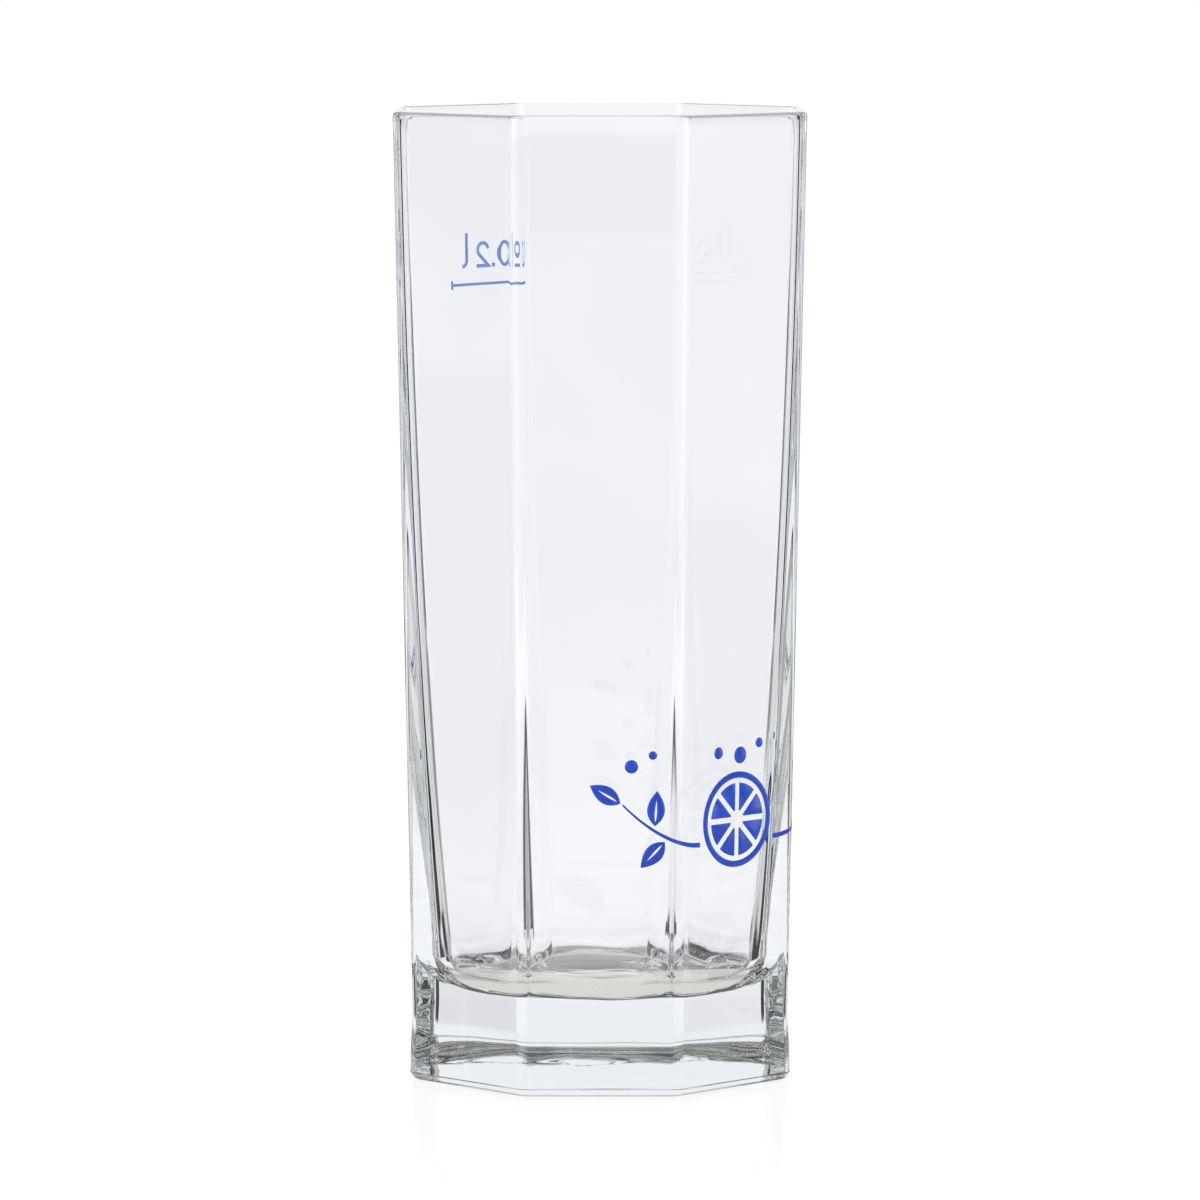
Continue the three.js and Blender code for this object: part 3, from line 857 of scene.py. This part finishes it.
def enamel(name, tint, clearness=0):
    """Fired enamel: glossy, thinner here and there, with a fine skin; clear enamel lets light through."""
    found = bpy.data.materials.get(name)
    if found:
        return found
    material = bpy.data.materials.new(name)
    nodes = Nodes(material)
    thin = [mixed(level, 1, THIN_SHARE) for level in tint[:3]] + [1]
    deep = [level * DEEP_SHARE for level in tint[:3]] + [1]
    shade = nodes.mix(nodes.eased(nodes.noise(*DEEP_CLOUDS), *DEEP_LIMITS), deep, list(tint))
    shade = nodes.mix(nodes.eased(nodes.noise(*THIN_CLOUDS), *THIN_LIMITS), shade, thin)
    gloss = nodes.maths("MULTIPLY_ADD", nodes.noise(*GLOSS_CLOUDS), GLOSS_SPREAD, GLOSS_LEAST)
    bumps = {"Strength": SKIN_STRENGTH, "Distance": SKIN_DEPTH, "Height": nodes.noise(*SKIN_CLOUDS)}
    skin = {"Base Color": shade, "Roughness": gloss, "Normal": nodes.out("Bump", bumps)}
    film = nodes.out("BsdfTransparent", {"Color": shade})
    shown = nodes.blend(clearness, nodes.out("BsdfPrincipled", skin), film)
    nodes.add("OutputMaterial", {"Surface": shown})
    return material


def blue_enamel():
    return enamel("Fired blue enamel", bpy.context.scene.glass_finishes.ink)


class DRINKGLASS_OT_body(bpy.types.Operator):
    """Models the pressed glass body from bevelled rings, bridged one to the next"""

    bl_idname = "drinkglass.body"
    bl_label = "Glass Body"

    def execute(self, context):
        sizes = context.scene.glass_body
        piece = start_mesh("glass_body_dressed")
        edit_mesh(piece).verts.layers.int.new("ring")
        profile = Profile(sizes)
        runs = []
        total = 0
        for levels in profile.runs():
            for number, level in enumerate(levels, total):
                self.add_ring(piece, sizes, number, *level)
            runs.append(range(total, total + len(levels)))
            total += len(levels)
        self.cut_facets(piece, sizes)
        self.bridge(piece, runs)
        bpy.ops.mesh.select_all(action="SELECT")
        bpy.ops.mesh.remove_doubles(threshold=WELD)
        bpy.ops.mesh.normals_make_consistent(inside=False)
        bpy.ops.object.mode_set(mode="OBJECT")
        self.weigh(piece, profile, runs)
        self.ripple(piece, "base", sizes.base_wave, sizes.base_wave_length)
        self.ripple(piece, "wall", sizes.wall_wave, sizes.wall_wave_length)
        bpy.ops.object.shade_smooth()
        dress(piece, clear_glass(), "clear_glass", "glass_body")
        return {"FINISHED"}

    def weigh(self, piece, profile, runs):
        """Marks where waves are pressed into the glass: under the base, on the floor and inside the wall."""
        base = piece.vertex_groups.new(name="base")
        wall = piece.vertex_groups.new(name="wall")
        levels = [level for run in profile.runs() for level in run]
        floor_top = profile.low_height + profile.s.rounding_rise
        wall_top = profile.lip_foot - profile.s.rounding_rise
        for vert, ring in zip(piece.data.vertices, piece.data.attributes["ring"].data):
            inradius, height, _ = levels[ring.value]
            if ring.value in runs[0]:
                base.add([vert.index], 1 - (inradius / profile.ring_in) ** HOLLOW_FADE, "REPLACE")
            elif ring.value in runs[1] and height < profile.waist_height:
                hump = math.sin(math.pi * height / profile.waist_height)
                base.add([vert.index], HEEL_WAVES * hump, "REPLACE")
            elif ring.value in runs[2] and height < floor_top:
                depth = (floor_top - height) / profile.s.rounding_rise
                base.add([vert.index], min(1, depth), "REPLACE")
            elif ring.value in runs[2]:
                off = mixed(-1, 1, (height - floor_top) / (wall_top - floor_top))
                wall.add([vert.index], math.sqrt(max(0, 1 - off * off)), "REPLACE")
        piece.data.attributes.remove(piece.data.attributes["ring"])

    def ripple(self, piece, group, height, wave_length):
        """Presses slow waves into one part of the glass."""
        clouds = bpy.data.textures.new(f"{group} waves", "CLOUDS")
        clouds.noise_scale = wave_length
        clouds.noise_depth = 1
        bpy.ops.object.modifier_add(type="DISPLACE")
        waves = piece.modifiers[-1]
        waves.texture = clouds
        waves.texture_coords = "LOCAL"
        waves.vertex_group = group
        waves.strength = height
        bpy.ops.object.modifier_apply(modifier=waves.name)
        bpy.data.textures.remove(clouds)

    def add_ring(self, piece, sizes, number, inradius, height, corner):
        """One level of the glass: an octagon whose corners are bevelled round."""
        bpy.ops.mesh.primitive_circle_add(
            vertices=SIDES,
            radius=inradius / math.cos(HALF_SIDE),
            location=(0, 0, height),
            rotation=(0, 0, HALF_SIDE),
        )
        bpy.ops.mesh.bevel(
            offset_type="OFFSET",
            offset=min(corner, FULLEST_CORNER * inradius) * math.tan(HALF_SIDE),
            segments=sizes.corner_steps,
            profile=0.5,
            affect="VERTICES",
        )
        mesh = edit_mesh(piece)
        tags = mesh.verts.layers.int["ring"]
        for vert in mesh.verts:
            if vert.select:
                vert[tags] = number

    def cut_facets(self, piece, sizes):
        """Cuts the straight edges, so that the facets stay flat beside the rounded corners."""
        step = 2 * HALF_SIDE

        def straight(edge):
            middle = edge_middle(edge)
            turn = math.atan2(middle.y, middle.x) / step
            return abs(turn - round(turn)) < MIDDLE_SLACK

        pick_edges(piece, straight)
        bpy.ops.mesh.subdivide(number_cuts=sizes.facet_cuts)

    def bridge(self, piece, runs):
        """Joins each ring of a run to the next, and closes the two ends on the axis."""
        mesh = edit_mesh(piece)
        tags = mesh.verts.layers.int["ring"]
        mesh.edges.index_update()
        places = [[] for _ in range(runs[-1].stop)]
        for edge in mesh.edges:
            places[edge.verts[0][tags]].append(edge.index)

        def choose(numbers):
            mesh = edit_mesh(piece)
            bpy.ops.mesh.select_all(action="DESELECT")
            mesh.edges.ensure_lookup_table()
            for index in numbers:
                mesh.edges[index].select_set(True)
            bmesh.update_edit_mesh(piece.data, loop_triangles=False, destructive=False)

        bpy.ops.mesh.select_mode(type="EDGE")
        for run in runs:
            for number in run[:-1]:
                choose(places[number] + places[number + 1])
                bpy.ops.mesh.bridge_edge_loops()
        for number in (runs[0][0], runs[-1][-1]):
            choose(places[number])
            bpy.ops.mesh.extrude_edges_move()
            bpy.ops.mesh.merge(type="COLLAPSE")


class DRINKGLASS_OT_fill_mark(bpy.types.Operator):
    """Models the fill line with its figures and the letter for litre, on a facet at the back"""

    bl_idname = "drinkglass.fill_mark"
    bl_label = "Fill Mark"

    def execute(self, context):
        sizes = context.scene.glass_prints
        profile = Profile(context.scene.glass_body)
        height = context.scene.glass_body.height - sizes.fill_drop
        finishes = context.scene.glass_finishes
        # The fill mark's paler tint is painted light for the back light seen through the enamel
        material = enamel("Fired pale blue enamel", finishes.mark, finishes.mark_clearness)
        wide = sizes.glyph_width / 2
        dot = sizes.glyph_stroke * POINT_RADIUS
        space = sizes.glyph_space * POINT_SPACE
        start = sizes.fill_shift - sizes.fill_length / 2
        point = start + sizes.glyph_width + space
        two = point + space
        litre = two + sizes.glyph_width + 2 * sizes.glyph_space
        middle = sizes.glyph_rise + sizes.glyph_height / 2
        steps = (
            ("fill_line", self.fill_line, sizes.fill_shift, 0),
            ("figure_zero", self.zero, start + wide, middle),
            ("figure_point", lambda piece, sizes: disc(dot), point, sizes.glyph_rise + dot),
            ("figure_two", self.two, two, sizes.glyph_rise),
            ("litre_letter", self.litre, litre, sizes.glyph_rise),
        )
        for node, draw, across, up in steps:
            piece = start_mesh(f"{node}_dressed")
            draw(piece, sizes)
            raise_print(piece, sizes)
            settle(piece, flat_place(profile, FILL_FACET, height, across, up), material, node)
        return {"FINISHED"}

    def fill_line(self, piece, sizes):
        """A bar whose ends are extruded outward, and then up and down into ticks."""
        half = sizes.fill_length / 2
        pen = sizes.fill_width / 2
        bar = half - sizes.fill_width
        bpy.ops.mesh.primitive_plane_add(size=1)
        stretch(2 * bar, 2 * pen)
        bpy.ops.mesh.select_mode(type="EDGE")
        pick_edges(piece, lambda edge: abs(edge_middle(edge).x) > bar / 2)
        bpy.ops.mesh.extrude_edges_move()
        stretch(half / bar, 1)

        def tick_root(edge):
            middle = edge_middle(edge)
            return abs(middle.x) > bar + pen / 2 and abs(middle.y) > pen / 2

        pick_edges(piece, tick_root)
        bpy.ops.mesh.extrude_edges_move()
        stretch(1, sizes.fill_tick / 2 / pen)

    def zero(self, piece, sizes):
        wide = sizes.glyph_width / 2
        tall = sizes.glyph_height / 2
        flat_ring((wide, tall), (wide - sizes.glyph_stroke, tall - sizes.glyph_stroke))

    def two(self, piece, sizes):
        pen = sizes.glyph_stroke / 2
        wide = sizes.glyph_width / 2
        bow = arc(wide, sizes.glyph_height - wide, wide - pen, BOW_TURN, BOW_STEPS)
        stroke(piece, bow + [(pen, pen), (sizes.glyph_width, pen)], sizes.glyph_stroke)

    def litre(self, piece, sizes):
        pen = sizes.glyph_stroke / 2
        foot = sizes.litre_foot
        curl = arc(foot, foot + pen, foot, CURL_TURN, CURL_STEPS)
        stroke(piece, [(0, sizes.litre_height)] + curl, sizes.glyph_stroke)


class DRINKGLASS_OT_fruit_wheel(bpy.types.Operator):
    """Models the printed fruit wheel: a round rind, and one segment that is copied around"""

    bl_idname = "drinkglass.fruit_wheel"
    bl_label = "Fruit Wheel"

    def execute(self, context):
        sizes = context.scene.glass_prints
        profile = Profile(context.scene.glass_body)
        material = blue_enamel()
        inner = sizes.rind_radius - sizes.rind_width
        rind = start_mesh("fruit_rind_dressed")
        flat_ring((sizes.rind_radius, sizes.rind_radius), (inner, inner))
        raise_print(rind, sizes)
        settle(rind, flat_place(profile, DESIGN_FACET, sizes.design_height), material, "fruit_rind")
        segment = start_mesh("fruit_segment")
        self.segment(segment, sizes, inner - sizes.rind_gap)
        raise_print(segment, sizes)
        places = {}
        for number in range(sizes.segments):
            turn = (number + 0.5) * 2 * math.pi / sizes.segments
            places[f"fruit_segment_{number + 1}"] = flat_place(
                profile, DESIGN_FACET, sizes.design_height, turn=turn
            )
        spread_copies(segment, places, material)
        return {"FINISHED"}

    def segment(self, piece, sizes, radius):
        """A disc cut down to one wedge along +X, with its corners rounded."""
        spread = math.pi / sizes.segments
        tip = sizes.segment_gap / 2 / math.sin(spread)
        disc(radius)
        for side in (1, -1):
            bpy.ops.mesh.select_all(action="SELECT")
            bpy.ops.mesh.bisect(
                plane_co=(tip, 0, 0),
                plane_no=(-math.sin(spread), side * math.cos(spread), 0),
                clear_outer=True,
            )
        bpy.ops.mesh.select_mode(type="VERT")
        mesh = edit_mesh(piece)
        for vert in mesh.verts:
            ways = [(edge.other_vert(vert).co - vert.co).normalized() for edge in vert.link_edges]
            vert.select = ways[0].dot(ways[1]) > STRAIGHT_ON
        mesh.select_flush_mode()
        bmesh.update_edit_mesh(piece.data)
        bpy.ops.mesh.bevel(
            offset=sizes.segment_rounding, segments=SEGMENT_CORNER_STEPS, affect="VERTICES"
        )


class DRINKGLASS_OT_sprigs(bpy.types.Operator):
    """Models the two printed stems around the glass's edges, and one leaf that is copied along them"""

    bl_idname = "drinkglass.sprigs"
    bl_label = "Sprigs"

    def execute(self, context):
        self.sizes = context.scene.glass_prints
        self.corner = context.scene.glass_body.outer_corner
        self.profile = Profile(context.scene.glass_body)
        material = blue_enamel()
        hands = {"left": -1, "right": 1}
        for side, hand in hands.items():
            self.stem(f"{side}_stem", hand, material)
        leaf = start_mesh("leaf")
        self.leaf(leaf)
        raise_print(leaf, self.sizes)
        places = {}
        for side, hand in hands.items():
            for number, (part, turn) in enumerate(LEAVES, 1):
                places[f"{side}_leaf_{number}"] = self.leaf_place(hand, part, turn)
        spread_copies(leaf, places, material)
        return {"FINISHED"}

    def girth(self, height):
        """Half a facet's flat part, and the way around from one facet's middle to the next."""
        flat = (self.profile.wall(height) - self.corner) * math.tan(HALF_SIDE)
        return flat, 2 * flat + 2 * HALF_SIDE * self.corner

    def skin_point(self, around, height, lift):
        """A point over the outside of the glass, by the way around from the middle of the design's facet."""
        flat, pitch = self.girth(height)
        facet = round(around / pitch)
        local = around - facet * pitch
        sign = math.copysign(1, local)
        bend = max(abs(local) - flat, 0) / self.corner
        facing, right = facet_ways(DESIGN_FACET + facet)
        aim = facing * math.cos(bend) + right * sign * math.sin(bend)
        point = facing * (self.profile.wall(height) - self.corner) + right * sign * min(abs(local), flat)
        return point + aim * (self.corner + lift) + Vector((0, 0, height))

    def stem_point(self, part):
        """The stem's middle line: the way around, and the height."""
        s = self.sizes
        around = s.rind_radius + s.stem_clear + s.stem_reach * part
        return around, s.design_height + s.stem_drop + s.stem_rise * part * part

    def stem(self, node, hand, material):
        sections = []
        for step in range(STEM_STEPS + 1):
            part = step / STEM_STEPS
            around, height = self.stem_point(part)
            half = self.sizes.stem_width / 2 * (1 - STEM_TAPER * part)
            ends = [self.skin_point(hand * around, height + up, -self.sizes.sink) for up in (-half, half)]
            sections.append(ends if hand > 0 else ends[::-1])
        piece = start_mesh(f"{node}_dressed")
        ribbon(piece, sections)
        close_print(piece)
        bpy.ops.object.modifier_add(type="SOLIDIFY")
        solid = piece.modifiers[-1]
        solid.thickness = self.sizes.sink + self.sizes.rise
        middle = piece.data.polygons[0]
        solid.offset = 1 if middle.normal.dot(middle.center.xy.to_3d()) > 0 else -1
        bpy.ops.object.modifier_apply(modifier=solid.name)
        bpy.ops.object.mode_set(mode="EDIT")
        close_print(piece)
        dress(piece, material, "blue_enamel", node)

    def leaf(self, piece):
        """A pointed leaf along +X from its foot, drawn as a strip around the slit of its vein."""
        s = self.sizes
        outline = [(0, 0), (s.leaf_length * LEAF_BULGE, s.leaf_width), (s.leaf_length, 0)]
        slit = [
            (s.leaf_length * VEIN_START, 0),
            (s.leaf_length * VEIN_BULGE, s.leaf_vein),
            (s.leaf_length * VEIN_END, 0),
        ]
        upper = list(zip(along(slit, LEAF_STEPS, 0), along(outline, LEAF_STEPS, 0)))
        flip = Matrix(((1, 0), (0, -1)))
        lower = [(flip @ near, flip @ far) for near, far in reversed(upper)]
        ribbon(piece, [(near.to_3d(), far.to_3d()) for near, far in upper + lower[1:]])

    def leaf_place(self, hand, part, turn):
        s = self.sizes
        around, height = self.stem_point(part)
        heading = math.atan2(2 * s.stem_rise * part, s.stem_reach) + math.radians(turn)
        off = s.leaf_clear + (s.stem_width / 2 if part < 1 else 0)
        across = hand * (around - self.girth(height)[1] + off * math.cos(heading))
        up = height - s.design_height + off * math.sin(heading)
        turned = heading if hand > 0 else math.pi - heading
        return flat_place(self.profile, DESIGN_FACET + hand, s.design_height, across, up, turned)


class DRINKGLASS_OT_bubbles(bpy.types.Operator):
    """Models one printed bubble, and lays copies of it at their sizes above the fruit wheel"""

    bl_idname = "drinkglass.bubbles"
    bl_label = "Bubbles"

    def execute(self, context):
        sizes = context.scene.glass_prints
        profile = Profile(context.scene.glass_body)
        bubble = start_mesh("bubble")
        disc(1 * MM)
        raise_print(bubble, sizes)
        places = {}
        for number, (facet, across, up, radius) in enumerate(BUBBLES, 1):
            place = flat_place(profile, DESIGN_FACET + facet, sizes.design_height, across * MM, up * MM)
            places[f"bubble_{number}"] = place @ Matrix.Diagonal((radius, radius, 1, 1))
        spread_copies(bubble, places, blue_enamel())
        return {"FINISHED"}


class DRINKGLASS_OT_stage(bpy.types.Operator):
    """Sets the pale floor, the soft white surroundings, the lamps and the camera"""

    bl_idname = "drinkglass.stage"
    bl_label = "Stage"

    def execute(self, context):
        scene = context.scene
        scene.view_settings.view_transform = "Standard"
        scene.cycles.max_bounces = BOUNCES
        scene.cycles.transmission_bounces = BOUNCES
        scene.cycles.glossy_bounces = BOUNCES
        scene.cycles.transparent_max_bounces = CLEAR_BOUNCES
        self.add_floor(context)
        self.add_world(context)
        self.add_lamps(context)
        self.add_camera(context)
        return {"FINISHED"}

    def add_floor(self, context):
        bpy.ops.object.select_all(action="DESELECT")
        bpy.ops.mesh.primitive_plane_add(size=FLOOR_SIZE, location=(0, 0, -FLOOR_GAP))
        floor = context.object
        floor.name = "stage_floor"
        material = bpy.data.materials.new("Pale floor")
        nodes = Nodes(material)
        finish = {"Base Color": context.scene.glass_finishes.floor, "Roughness": FLOOR_ROUGHNESS}
        paint = nodes.out("BsdfPrincipled", finish)
        turn, reach, _ = nodes.polar(nodes.place())
        far = nodes.eased(reach, *FAR_START)
        # Painted pools of light and dark strips far out, and a painted dimmer floor near the glass, for
        # reflections to see
        gloss = nodes.mix(far, NEAR_GLOSS_PAINTED_SHADE, nodes.ramp(turn, SEEN_IN_GLOSS))
        glow = nodes.out("Emission", {"Strength": FLOOR_GLOW})
        blank = nodes.maths("MULTIPLY_ADD", far, 1 - FLOOR_WHITE, FLOOR_WHITE)
        path = nodes.add("LightPath")
        shown = nodes.blend(path.outputs["Is Camera Ray"], paint, nodes.blend(blank, paint, glow))
        # Reflections see the floor's painted glow
        shown = nodes.blend(path.outputs["Is Glossy Ray"], shown, nodes.glow(gloss))
        through = self.floor_through_glass(nodes, turn, reach)
        shown = nodes.blend(path.outputs["Is Transmission Ray"], shown, through)
        nodes.add("OutputMaterial", {"Surface": shown})
        floor.data.materials.append(material)

    def floor_through_glass(self, nodes, turn, reach):
        """The floor as glass sees it: a painted shadow under the base with a painted contact shadow ring
        under the foot, a bright painted ring past the foot, painted light behind and before it, painted dark
        in two wings, and clear elsewhere.
        """
        # Painted shadow under the base, darker in a painted contact shadow ring under the foot, then a bright
        # painted ring past the foot's edge
        under = nodes.mix(nodes.eased(reach, *CONTACT_RING), FLOOR_PAINTED_SHADOW, CONTACT_PAINTED_SHADOW)
        near = nodes.glow(nodes.mix(nodes.eased(reach, *FOOT_EDGE), under, BACKDROP))
        aside = nodes.maths("ABSOLUTE", nodes.maths("SUBTRACT", turn, 0.5))

        def field(start, *sectors):
            inside = nodes.eased(reach, *start)
            for sector in sectors:
                inside = nodes.maths("MULTIPLY", inside, nodes.eased(aside, *sector))
            return inside

        # Painted light: the floor glows behind and before the glass, and is clear elsewhere
        behind = field(BEHIND_START, BEHIND_SECTOR)
        lit = nodes.maths("MAXIMUM", behind, field(FRONT_START, FRONT_SECTOR))
        through = nodes.blend(lit, nodes.out("BsdfTransparent"), nodes.glow(FAR_FLOOR))
        # Painted shade: two dark wings are painted on the far floor
        wings = field(WING_START, WING_INSIDE, WING_OUTSIDE)
        through = nodes.blend(wings, through, nodes.glow(DARK))
        return nodes.blend(nodes.eased(reach, *NEAR_RING), near, through)

    def surroundings(self, nodes, turn, rise):
        """What glass sees around it: the bands, one over the other, and the windows in them."""
        seen = None
        for start, blend, shades in BANDS:
            shade = nodes.ramp(turn, shades)
            if seen:
                edges = [math.radians(start + side * blend / 2) for side in (-1, 1)]
                shade = nodes.mix(nodes.eased(rise, *edges), seen, shade)
            seen = shade
        reach = WINDOW_REACH / 360
        for heading, low, high in WINDOWS:
            middle = (heading + 180) / 360
            off = nodes.maths("ABSOLUTE", nodes.maths("SUBTRACT", turn, middle))
            inside = nodes.eased(off, reach * WINDOW_FADE, reach)
            for edge, fade in ((low, -WINDOW_EDGE), (high, WINDOW_EDGE)):
                ends = math.radians(edge + fade), math.radians(edge)
                inside = nodes.maths("MULTIPLY", inside, nodes.eased(rise, *ends))
            seen = nodes.mix(inside, seen, BACKDROP)
        return seen

    def add_world(self, context):
        """White to the camera; glass and gloss see the surroundings."""
        world = bpy.data.worlds.new("Studio")
        context.scene.world = world
        nodes = Nodes(world)
        turn, reach, height = nodes.polar(nodes.place("Generated"))
        rise = nodes.maths("ARCTAN2", height, reach)
        overhead = nodes.eased(height, *GLOSS_ROOF_START)
        gloss = nodes.mix(overhead, nodes.ramp(turn, SEEN_IN_GLOSS), GLOSS_ROOF)
        path = nodes.add("LightPath")
        around = self.surroundings(nodes, turn, rise)
        seen = nodes.mix(path.outputs["Is Transmission Ray"], gloss, around)
        dull = nodes.maths("ADD", path.outputs["Is Camera Ray"], path.outputs["Is Diffuse Ray"])
        sky = nodes.out("Background", {"Color": nodes.mix(dull, seen, WHITE)})
        nodes.add("OutputWorld", {"Surface": sky})

    def add_lamps(self, context):
        for number in range(LAMPS):
            turn = 2 * math.pi * (number + 0.5) / LAMPS
            bpy.ops.object.light_add(type="AREA")
            lamp = context.object
            lamp.name = f"soft_box_{number + 1}"
            lamp.data.shape = "RECTANGLE"
            lamp.data.size = LAMP_WIDTH
            lamp.data.size_y = LAMP_LENGTH
            lamp.data.energy = LAMP_POWER
            lamp.visible_transmission = False
            lamp.location = (LAMP_DISTANCE * math.cos(turn), LAMP_DISTANCE * math.sin(turn), LAMP_HEIGHT)
            aim = Vector((0, 0, LAMP_AIM)) - lamp.location
            lamp.rotation_euler = aim.to_track_quat("-Z", "Y").to_euler()

    def add_camera(self, context):
        finishes = context.scene.glass_finishes
        bpy.ops.object.camera_add(location=(0, -finishes.camera_distance, finishes.camera_height))
        camera = context.object
        camera.name = "photo_camera"
        camera.rotation_euler = (math.radians(90 - finishes.camera_pitch), 0, 0)
        camera.data.sensor_width = SENSOR_WIDTH
        camera.data.lens = finishes.camera_lens
        camera.data.clip_end = VIEW_END
        context.scene.camera = camera


class DRINKGLASS_PT_panel(bpy.types.Panel):
    """Lists the steps that make the glass"""

    bl_label = "Long Drink Glass"
    bl_idname = "DRINKGLASS_PT_panel"
    bl_space_type = "VIEW_3D"
    bl_region_type = "UI"
    bl_category = "Drink Glass"

    def draw(self, context):
        for step in STEPS:
            self.layout.operator(step.bl_idname)


STEPS = (
    DRINKGLASS_OT_body,
    DRINKGLASS_OT_fill_mark,
    DRINKGLASS_OT_fruit_wheel,
    DRINKGLASS_OT_sprigs,
    DRINKGLASS_OT_bubbles,
    DRINKGLASS_OT_stage,
)
GROUPS = (
    ("glass_body", GlassBodySizes),
    ("glass_prints", PrintSizes),
    ("glass_finishes", Finishes),
)


def register():
    for name, group in GROUPS:
        bpy.utils.register_class(group)
        setattr(bpy.types.Scene, name, bpy.props.PointerProperty(type=group))
    for step in STEPS:
        bpy.utils.register_class(step)
    bpy.utils.register_class(DRINKGLASS_PT_panel)


def unregister():
    bpy.utils.unregister_class(DRINKGLASS_PT_panel)
    for step in reversed(STEPS):
        bpy.utils.unregister_class(step)
    for name, group in reversed(GROUPS):
        delattr(bpy.types.Scene, name)
        bpy.utils.unregister_class(group)


def main():
    register()
    bpy.ops.drinkglass.body()
    bpy.ops.drinkglass.fill_mark()
    bpy.ops.drinkglass.fruit_wheel()
    bpy.ops.drinkglass.sprigs()
    bpy.ops.drinkglass.bubbles()
    bpy.ops.drinkglass.stage()


if __name__ == "__main__":
    main()
